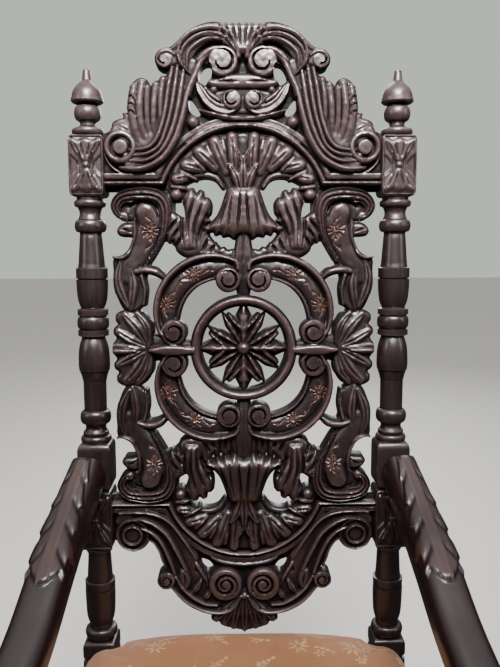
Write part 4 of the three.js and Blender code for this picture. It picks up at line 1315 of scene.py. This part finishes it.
# %% Front legs
FOOT = profile(taper(0, 3, 15, 18.5, 0.4, 3), bead(3, 32, 19, 24.5), cove(33, 48, 18, 14, 1.5),
               bead(48.5, 57, 14, 17.5), taper(57.5, 63, 15, 15, 0, 2))
SHANK = profile(taper(119, 122, 15, 15, 0, 2), bead(122, 129, 16, 20), cove(130, 139, 16, 14.5, 1.5),
                taper(140, 190, 19.5, 14, 2.6), bead(191, 203, 14, 18.5), taper(204, 256, 14, 21, 2.2),
                cove(257, 271, 18, 14, 2), bead(272, 280, 14, 17), taper(281, 298, 15, 19),
                bead(299, 317, 17, 21), taper(317.5, 324, 16, 16, 0, 2))
SUPPORT = profile(taper(402, 406, 15, 15, 0, 2), bead(406, 415, 16, 20.5), cove(416, 424, 15, 16, 1.5),
                  taper(425, 437, 19.8, 20.6, 0.4), taper(438, 482, 20, 13, 1.6), taper(483, 497, 13, 13),
                  bead(498, 514, 13.5, 19.8), cove(515, 524, 15, 15, 1.5), bead(525, 540, 16, 20.2))
STRETCHER_Z = 92.0


def leg_block(x, y, bottom, top, half, run):
    """A square part of a front leg, standing upright; x and y in metres."""
    heights = np.unique(np.r_[np.linspace(bottom, bottom + run, 6), np.linspace(top - run, top, 6)])
    rings = []
    for z in heights:
        ring = square_ring(*[shoulders(z, bottom, top, half, half * 0.78, run)] * 2, BLOCK_CORNER)
        rings.append(np.c_[x + ring[:, 0] * MM, y + ring[:, 1] * MM, np.full(len(ring), z * MM)])
    return tube(rings)


for side_name, sign in (("right", 1), ("left", -1)):
    x = sign * FRONT_X
    parts = [turned("front_leg", lambda z: (x, FRONT_Y, z * MM), FOOT, SHANK, SUPPORT),
             shaped("stretcher_block", leg_block(x, FRONT_Y, 62, 120, 21, 6)),
             shaped("rail_block", leg_block(x, FRONT_Y, 322, 404, 21, 6))]
    piece("leg_" + side_name, join_meshes("front_leg", parts), wood_upright, "dark_wood",
          "front_leg_" + side_name, shape_values=False, smooth=32)

# %% Stretchers: one turned at each side, one between them
to_back = (POST_X * MM, POST_LINE + 19 * MM)
LONG = hypot(FRONT_X - to_back[0], to_back[1] - FRONT_Y) / MM
NEAR_HALF = [taper(8, 40, 10, 11.5, 0.6), taper(40.5, 88, 12.5, 10.5, 1.6), bead(89, 97, 10.5, 13.5),
             cove(98, 107, 11.5, 13.5, 1), bead(108, 126, 12.5, 16), cove(127, LONG / 2 - 20, 12, 11.5, 1.5)]


def turned_about(cuts, length):
    """The cuts from one end, and the same again from the other."""
    return [*cuts, *[np.c_[length - cut[::-1, 0], cut[::-1, 1]] for cut in reversed(cuts)]]


for side_name, sign in (("right", 1), ("left", -1)):
    start = np.array([sign * FRONT_X, FRONT_Y, STRETCHER_Z * MM])
    stop = np.array([sign * to_back[0], to_back[1], STRETCHER_Z * MM])
    ahead = (stop - start) / np.linalg.norm(stop - start)
    across = np.array([ahead[1], -ahead[0], 0])
    along_it = lambda d: start + ahead * d * MM
    rings = []
    for d in np.unique(np.r_[np.linspace(-22, -18, 4), np.linspace(18, 22, 4)]):
        half = shoulders(d, -22, 22, 15, 12, 4)
        ring = square_ring(half, half, 1.4)
        rings.append(along_it(LONG / 2 + d) + ring[:, :1] * across * MM + ring[:, 1:] * np.array([0, 0, MM]))
    block_points, block_faces = tube(rings)
    parts = [turned("stretcher", along_it, profile(*turned_about(NEAR_HALF, LONG))),
             shaped("stretcher_block", (block_points, [face[::-1] for face in block_faces]))]
    piece("side_stretcher_turned_" + side_name, join_meshes("stretcher", parts), wood_across, "dark_wood",
          "side_stretcher_" + side_name, shape_values=False, smooth=32)
cross_low, cross_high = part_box("cross_stretcher")
cross_y = (cross_low[1] + cross_high[1]) / 2
reach = cross_high[0] / MM - 1
CROSS_HALF = [taper(-reach, -160, 10, 11), taper(-159, -132, 12.5, 11, 1), bead(-131, -123, 11, 14),
              taper(-122, -62, 12, 11, 1.5), bead(-61, -45, 11.5, 16.5), cove(-44, -24, 13, 14, 2),
              taper(-23, 0, 15, 18, 0.5)]
cross = turned("cross", lambda d: (d * MM, cross_y, STRETCHER_Z * MM), profile(*turned_about(CROSS_HALF, 0)))
piece("cross_stretcher_turned", cross, wood_across, "dark_wood", "cross_stretcher", shape_values=False,
      smooth=32)

# %% Boards with eased edges


def eased(node, name, material, width=1.2):
    """A copy of a plain solid with merged corners and softened edges."""
    work = bmesh.new()
    work.from_mesh(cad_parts[node].data)
    bmesh.ops.remove_doubles(work, verts=work.verts, dist=1e-5)
    bmesh.ops.dissolve_limit(work, angle_limit=radians(1), verts=work.verts, edges=work.edges)
    mesh = bpy.data.meshes.new(name)
    work.to_mesh(mesh)
    work.free()
    thing = object_of(name + "_copy", mesh)
    bevel = thing.modifiers.new("eased", "BEVEL")
    bevel.width = width * MM
    bevel.segments = 2
    bevel.limit_method = "ANGLE"
    bevel.angle_limit = radians(30)
    return piece(name, plain_mesh(thing), material, "dark_wood", node)


eased("back_seat_rail", "back_rail_board", wood_across)
eased("front_seat_rail", "front_rail_board", wood_across)
eased("front_stretcher", "front_stretcher_board", wood_across, 0.8)
eased("side_rail_right", "side_rail_board_right", wood_lengthwise)
eased("side_rail_left", "side_rail_board_left", wood_lengthwise)

# %% [markdown]
# ## The arms
# Each arm is one heavy sweep: it leaves the back post high, falls and turns outwards, and levels out in
# a rolled hand-hold over the front leg. Its skin is a grid, around and along, so a long leaf can be
# carved on the upper half by lifting the points: two ribs down the middle, slanting lobes, a sharp tip.

# %% The arm's line and its leaf
ARM_LINE = [(206, -4, 676), (217, -71, 637), (222, -140, 607), (226, -215, 574), (229, -290, 556),
            (230, -360, 552), (229, -424, 560)]
ARM_HALF_WIDTH = [22, 25, 25, 25, 25, 24]
ARM_HALF_HEIGHT = [25, 24, 22, 20, 18, 18]
LEAF_END = 0.42


def arm_leaf(t, w):
    """Height of the leaf at t along the arm and w, from -1 to 1, across its upper half."""
    run = t / LEAF_END
    side_of = np.abs(w)
    lobe = (run * 5) % 1
    edge = np.interp(run, [0, 0.2, 0.5, 0.8, 0.93, 1], [0.50, 0.68, 0.86, 0.98, 0.92, 0.66])
    edge = edge * (0.80 + 0.20 * lobe ** 1.5)
    on = np.clip((edge - side_of) / 0.05, 0, 1)
    tip = 0.90 + 0.10 * np.abs(np.cos(2.6 * side_of))
    slant = (run * 5 - side_of * 1.2) % 1
    groove = -1.8 * np.exp(-((slant - 0.4) / 0.15) ** 2) * np.clip((side_of - 0.24) / 0.12, 0, 1)
    ribs = 1.2 * np.exp(-((side_of - 0.16) / 0.08) ** 2) - 1.6 * np.exp(-(side_of / 0.06) ** 2)
    swell = 2.4 + 1.2 * np.clip((run - 0.6) / 0.4, 0, 1)
    return on * (swell + groove + ribs) * np.clip((tip - run) / 0.03, 0, 1) * np.clip(run / 0.04, 0, 1)


def arm_skin(rows=190, around=110):
    """The arm's points and faces, and how high and how deep each point lies."""
    line = smooth_line([(x, y + POST_LINE / MM, z) for x, y, z in ARM_LINE], 3)
    travel = np.r_[0, np.cumsum(np.linalg.norm(np.diff(line, axis=0), axis=1))]
    travel /= travel[-1]
    turn = np.linspace(-pi, pi, around, endpoint=False)
    c, s = np.cos(turn), np.sin(turn)

    def middle_at(t):
        return np.array([np.interp(t, travel, line[:, k]) for k in range(3)])

    rings, highs, deeps = [], [], []
    for t in np.linspace(0, 1, rows):
        at = middle_at(t)
        ahead = middle_at(min(t + 0.01, 1)) - middle_at(max(t - 0.01, 0))
        ahead /= np.linalg.norm(ahead)
        across = np.cross(ahead, (0, 0, 1))
        across /= np.linalg.norm(across)
        up = np.cross(across, ahead)
        width = np.interp(t, np.linspace(0, 1, 6), ARM_HALF_WIDTH)
        high = np.interp(t, np.linspace(0, 1, 6), ARM_HALF_HEIGHT)
        o = width * np.sign(c) * np.abs(c) ** 0.62
        h = high * np.sign(s) * np.abs(s) ** np.where(s > 0, 0.80, 0.55)
        lift = np.zeros_like(s)
        if t < LEAF_END:
            lift = np.where(s > -0.12, arm_leaf(t, o / width * np.where(s > 0.25, 0.93, 1.0)), 0)
        out = np.c_[c * 0.8, s]
        out /= np.linalg.norm(out, axis=1)[:, None]
        o, h = o + out[:, 0] * lift, h + out[:, 1] * lift
        rings.append(at + o[:, None] * across + h[:, None] * up)
        highs.append(np.clip((lift - 2.2) / 1.6, 0, 1))
        deeps.append(np.where((lift > 0) & (lift < 1.5), (1.5 - lift) / 1.5, 0))
    points, faces = tube(np.array(rings) * MM)
    return points, [face[::-1] for face in faces], np.concatenate(highs), np.concatenate(deeps)


arm_points, arm_faces, arm_high, arm_deep = arm_skin()
arm_end = np.array(ARM_LINE[-1]) + (0, POST_LINE / MM, -8)
HALF_HOLD = profile(taper(-28.5, -27.5, 6, 8, 0, 3), taper(-27.3, -26.2, 8.5, 9.5, 0, 3),
                    taper(-25.6, -24.6, 17, 20, 0, 3), taper(-24, -22, 22.5, 25.6, 0.4, 4),
                    taper(-21, 21, 26, 26, 0.6, 10))
HAND_HOLD = profile(HALF_HOLD, np.c_[-HALF_HOLD[-2::-1, 0], HALF_HOLD[-2::-1, 1]])
print("the arm's skin has %d points" % len(arm_points))

# %% Making both arms
for side_name, sign in (("right", 1), ("left", -1)):
    flip = (sign, 1, 1)
    mesh = mesh_of("arm", arm_points * flip, arm_faces if sign > 0 else [face[::-1] for face in arm_faces])
    write_values(mesh, "high", arm_high)
    write_values(mesh, "deep", arm_deep)
    drum = turned("hand_hold", lambda d: tuple((arm_end + (d, 0, 0)) * MM * flip), HAND_HOLD)
    piece("arm_carved_" + side_name, join_meshes("arm", [mesh, drum]), wood_arm, "arm_wood",
          "arm_" + side_name, shape_values=False, smooth=40)

# %% [markdown]
# ## The stuffed seat
# A sprung and stuffed seat is fabric pulled over a soft mass, so its shape comes from pressure inside a
# skin. The plan of the plain seat, notched round the posts, is raised to a slab and shaped to a dome. A
# little too small, it is filled with air by the cloth simulation for twenty frames; how far any point
# may swell is capped, so that it stays on its rails.

# %% Blowing up the seat
PRESSURE, STIFFNESS, FRAMES = 4.0, 12, 20
CAP = 8 * MM
HELD = 3 * MM
VOXEL = 5 * MM
ROUNDING = 16
SMALLER = 0.985
SLAB = 60 * MM
DOME_RISE = 60 * MM
DOME_MIDDLE, DOME_BACK, DOME_FRONT = -0.02, 0.225, 0.245
DOME_HALF_WIDTH = 0.262


def dome(x, y):
    """How far the seat's top stands over its rails: flat in the middle, rolling down to every edge."""
    across = np.abs(x) / DOME_HALF_WIDTH
    back = np.clip(y - DOME_MIDDLE, 0, None) / DOME_BACK
    front = np.clip(DOME_MIDDLE - y, 0, None) / DOME_FRONT
    reach = (across ** 4 + back ** 4 + front ** 4) ** 0.25
    return DOME_RISE * np.sqrt(np.clip(1 - reach ** 6, 0.04, 1))


def stuffed_seat():
    """The seat's mesh: a slab over the plain seat's plan, shaped to a dome and blown up."""
    low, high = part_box("seat_cushion")
    work = bmesh.new()
    work.from_mesh(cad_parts["seat_cushion"].data)
    bmesh.ops.remove_doubles(work, verts=work.verts, dist=1e-5)
    upper = [face for face in work.faces if max(v.co.z for v in face.verts) > low[2] + MM]
    bmesh.ops.delete(work, geom=upper, context="FACES")
    raised = bmesh.ops.extrude_face_region(work, geom=work.faces[:])
    bmesh.ops.translate(work, verts=[g for g in raised["geom"] if isinstance(g, bmesh.types.BMVert)],
                        vec=(0, 0, SLAB))
    bmesh.ops.recalc_face_normals(work, faces=work.faces[:])
    mesh = bpy.data.meshes.new("seat")
    work.to_mesh(mesh)
    work.free()
    thing = object_of("seat_copy", mesh)
    voxels = thing.modifiers.new("even", "REMESH")
    voxels.mode = "VOXEL"
    voxels.voxel_size = VOXEL
    even = plain_mesh(thing)
    at = read_points(even)
    middle = (np.array(low) + np.array(high)) / 2
    at = middle + (at - middle) * (SMALLER, SMALLER, 1.0)
    at[:, 2] = low[2] + (at[:, 2] - low[2]) / SLAB * dome(at[:, 0], at[:, 1])
    set_points(even, at)
    thing = object_of("seat_domed", even)
    softened = thing.modifiers.new("rounded", "SMOOTH")
    softened.factor = 0.5
    softened.iterations = ROUNDING
    even = plain_mesh(thing)
    at = read_points(even)
    swollen = blow_up(even, at)
    swollen[:, 2] = np.maximum(swollen[:, 2], low[2] - 0.2 * MM)
    set_points(even, swollen)
    print("the stuffed seat rises to", round(float(swollen[:, 2].max()) / MM), "mm")
    return even


def blow_up(mesh, rest):
    """The mesh's points after the simulation; its lower edge is held, and no point moves further than CAP."""
    thing = object_of("seat_inflating", mesh)
    held = thing.vertex_groups.new(name="held")
    low = rest[:, 2].min()
    held.add([int(i) for i in np.nonzero(rest[:, 2] < low + HELD)[0]], 1.0, "REPLACE")
    cloth = thing.modifiers.new("cloth", "CLOTH")
    cloth.settings.use_pressure = True
    cloth.settings.uniform_pressure_force = PRESSURE
    cloth.settings.effector_weights.gravity = 0
    cloth.settings.vertex_group_mass = "held"
    cloth.settings.tension_stiffness = cloth.settings.compression_stiffness = STIFFNESS
    cloth.collision_settings.use_collision = False
    scene = bpy.context.scene
    for number in range(1, FRAMES + 1):
        scene.frame_set(number)
    done = thing.evaluated_get(bpy.context.evaluated_depsgraph_get()).to_mesh()
    at = read_points(done)
    scene.frame_set(1)
    bpy.data.objects.remove(thing)
    move = at - rest
    far = np.linalg.norm(move, axis=1)
    return rest + move * np.minimum(1, CAP / np.maximum(far, 1e-9))[:, None]


# %% [markdown]
# ## Floral damask
# The cover is a tan-pink damask, worn and a little faded, with paler star blossoms, open in the middle,
# and sprays of small leaves scattered over it. The shader draws them: a cell pattern gives scattered
# centres, and the angle about a centre shapes the petals. Cloth keeps its length as it folds down a
# side, so the pattern is drawn wider by as much as it drops. The weave is a fine ripple in two ways.

# %% The cover's material
SEAT_TOP, HALF_SEAT = 0.455, 0.25
GROUND_DARK, GROUND_PALE = (0.215, 0.095, 0.042, 1), (0.285, 0.134, 0.062, 1)
THREAD, FIGURE = (0.155, 0.068, 0.030, 1), (0.44, 0.29, 0.145, 1)


def damask():
    cloth = Finish("floral damask")
    here = cloth.coordinates()
    stretch = cloth.span(cloth.axes(here)[2], SEAT_TOP - HALF_SEAT, SEAT_TOP, 2, 1)
    here = cloth.add("VectorMath", inputs={0: here, "Scale": stretch}, operation="SCALE")

    def scattered(scale, seed, jitter):
        """Vectors from the nearest scattered centre, and a random number for each centre."""
        moved = cloth.add("VectorMath", inputs={0: here, 1: (seed, 2 * seed, 0.0)}, operation="ADD")
        level = cloth.add("VectorMath", inputs={0: moved, 1: (1, 1, 0)}, operation="MULTIPLY")
        cells = cloth.tree.nodes.new("ShaderNodeTexVoronoi")
        cells.voronoi_dimensions = "2D"
        cloth.feed(cells.inputs["Vector"], level)
        cells.inputs["Scale"].default_value = scale
        cells.inputs["Randomness"].default_value = jitter
        away = cloth.add("VectorMath", inputs={0: level, 1: cells.outputs["Position"]}, operation="SUBTRACT")
        x, y, _ = cloth.axes(away)
        return x, y, cloth.add("SeparateColor", inputs={0: cells.outputs["Color"]})

    def math(kind, a, b=0.0):
        return cloth.add("Math", inputs={0: a, 1: b}, operation=kind)

    def blossom(scale, seed, petals, size):
        x, y, chance = scattered(scale, seed, 0.75)
        radius = math("SQRT", math("ADD", math("MULTIPLY", x, x), math("MULTIPLY", y, y)))
        angle = math("ADD", math("ARCTAN2", y, x), math("MULTIPLY", chance, 6.28))
        wave = math("COSINE", math("MULTIPLY", angle, petals))
        reach = math("MULTIPLY", math("ADD", math("MULTIPLY", wave, 0.42), 0.58), size)
        open_middle = math("SUBTRACT", radius, size * 0.22)
        return math("MINIMUM", cloth.span(math("SUBTRACT", reach, radius), -0.0006, 0.0006),
                    cloth.span(open_middle, -0.0004, 0.0008))

    def twig(scale, seed, length, width):
        x, y, chance = scattered(scale, seed, 0.9)
        turn = math("MULTIPLY", chance, 6.28)
        c, s = math("COSINE", turn), math("SINE", turn)
        along = math("ADD", math("MULTIPLY", x, c), math("MULTIPLY", y, s))
        across = math("SUBTRACT", math("MULTIPLY", y, c), math("MULTIPLY", x, s))
        bend = math("ADD", across, math("MULTIPLY", math("MULTIPLY", along, along), 9.0))
        leaf_wave = math("POWER", math("ABSOLUTE", math("SINE", math("MULTIPLY", along, 420.0))), 2.0)
        thick = math("ADD", math("MULTIPLY", leaf_wave, width), 0.0004)
        inside = math("SUBTRACT", thick, math("ABSOLUTE", bend))
        near = math("SUBTRACT", length, math("ABSOLUTE", along))
        return math("MINIMUM", cloth.span(inside, -0.0004, 0.0006), cloth.span(near, 0, 0.002))

    flowers = math("MAXIMUM", blossom(12, 0.31, 7, 0.014), blossom(17, 0.77, 5, 0.008))
    pattern = math("MAXIMUM", flowers,
                   math("MAXIMUM", twig(12, 0.31, 0.026, 0.0034), twig(17, 0.77, 0.016, 0.0026)))
    cloud = cloth.noise(here, 7, 4)
    threads = cloth.noise(cloth.coordinates((900, 120, 900)), 1.0, 2)
    weft = cloth.noise(cloth.coordinates((120, 900, 900)), 1.0, 2)
    ground = cloth.mix(cloth.span(cloud, 0.35, 0.65), GROUND_DARK, GROUND_PALE)
    ground = cloth.mix(cloth.span(threads, 0.3, 0.7, 0, 0.25), ground, THREAD)
    worn_away = cloth.span(cloth.noise(here, 55, 3), 0.35, 0.6, 0.35, 0.85)
    tone = cloth.mix(math("MULTIPLY", pattern, worn_away), ground, FIGURE)
    weave = math("ADD", math("ADD", threads, weft), math("MULTIPLY", pattern, 0.8))
    bump = cloth.add("Bump", inputs={"Strength": 0.35, "Distance": 0.0006, "Height": weave})
    cloth.set(Base_Color=tone, Roughness=0.85, Normal=bump, Sheen_Weight=0.12, Sheen_Roughness=0.5,
              Specular_IOR_Level=0.25)
    return cloth.material


damask_cloth = damask()
print("the damask is drawn by", len(damask_cloth.node_tree.nodes), "shader nodes")
cushion = piece("seat_stuffed", stuffed_seat(), damask_cloth, "damask", "seat_cushion", smooth=0,
                shape_values=False)
rounder = cushion.modifiers.new("rounder", "SUBSURF")
rounder.levels = rounder.render_levels = 1

# %% [markdown]
# ## Floor and light
# A plain pale floor and soft lamps: a large one overhead and a little in front, whose reflection draws
# the carving's upper edges, a small one over the crest, a narrow one behind that lights the tops of the
# arms, a fill at the back, and weaker ones at the sides so that the hollows still read. The eye sees a
# plain pale room, while the chair is lit by a ceiling brighter than its walls.

# %% Floor
floor_mesh = mesh_of("floor", [(-9, -9, 0), (9, -9, 0), (9, 9, 0), (-9, 9, 0)], [[0, 1, 2, 3]])
floor = object_of("floor", floor_mesh)
floor_paint = Finish("pale floor")
floor_paint.set(Base_Color=(0.62, 0.62, 0.59, 1), Roughness=0.75)
floor_mesh.materials.append(floor_paint.material)
floor.visible_glossy = False

# %% Lamps and the pale room
world = bpy.data.worlds.new("room")
bpy.context.scene.world = world
world.use_nodes = True
sky = world.node_tree.nodes
WALL, WALL_STRENGTH = (0.62, 0.68, 0.60, 1), 0.95
ZENITH, CEILING_STRENGTH = (1.0, 0.93, 0.94), 1.1
CEILING_LEVELS = ((0.0, 0.04), (0.30, 0.13), (1.0, 0.16))


def room_light():
    """The eye sees a plain pale room; the chair is lit by a bright ceiling over dim walls."""
    links = world.node_tree.links
    seen = sky.new("ShaderNodeLightPath")
    direction = sky.new("ShaderNodeTexCoord")
    parts = sky.new("ShaderNodeSeparateXYZ")
    ramp = sky.new("ShaderNodeValToRGB")
    for position, level in CEILING_LEVELS:
        stop = ramp.color_ramp.elements[0] if position == 0 else ramp.color_ramp.elements.new(position)
        stop.position = position
        stop.color = [channel * level for channel in ZENITH] + [1]
    ceiling = sky["Background"]
    ceiling.inputs["Strength"].default_value = CEILING_STRENGTH
    pale = sky.new("ShaderNodeBackground")
    pale.inputs["Color"].default_value = WALL
    pale.inputs["Strength"].default_value = WALL_STRENGTH
    choice = sky.new("ShaderNodeMixShader")
    links.new(direction.outputs["Generated"], parts.inputs[0])
    links.new(parts.outputs[2], ramp.inputs[0])
    links.new(ramp.outputs[0], ceiling.inputs["Color"])
    links.new(seen.outputs["Is Camera Ray"], choice.inputs[0])
    links.new(ceiling.outputs[0], choice.inputs[1])
    links.new(pale.outputs[0], choice.inputs[2])
    links.new(choice.outputs[0], sky["World Output"].inputs[0])


room_light()


def lamp(name, place, aim, size, power, colour, spread=180):
    data = bpy.data.lights.new(name, "AREA")
    data.shape = "RECTANGLE"
    data.size, data.size_y = size
    data.energy = power
    data.color = colour
    data.spread = radians(spread)
    thing = bpy.data.objects.new(name, data)
    thing.location = place
    thing.rotation_euler = (Vector(aim) - Vector(place)).to_track_quat("-Z", "Y").to_euler()
    bpy.context.scene.collection.objects.link(thing)


lamp("overhead", (0.1, -0.75, 2.45), (0, 0.1, 0.9), (1.4, 0.6), 50, (1.0, 0.93, 0.93))
lamp("over the crest", (0.05, -0.75, 1.95), (0, 0.2, 1.2), (0.7, 0.25), 7, (1.0, 0.94, 0.93), 50)
lamp("behind, over the arms", (0.0, 1.3, 2.3), (0, -0.1, 0.6), (1.3, 0.2), 12, (1.0, 0.92, 0.90))
lamp("back", (0.6, 2.9, 1.9), (0, 0.2, 0.7), (1.2, 1.2), 30, (0.97, 0.98, 1.0))
lamp("left", (-2.4, -1.1, 1.9), (0, 0.2, 0.8), (0.6, 1.2), 13, (1.0, 0.95, 0.92))
lamp("right", (2.4, -0.9, 1.8), (0, 0.2, 0.8), (0.6, 1.2), 11, (0.95, 0.97, 1.0))
print("lamps:", [light.name for light in bpy.data.lights])
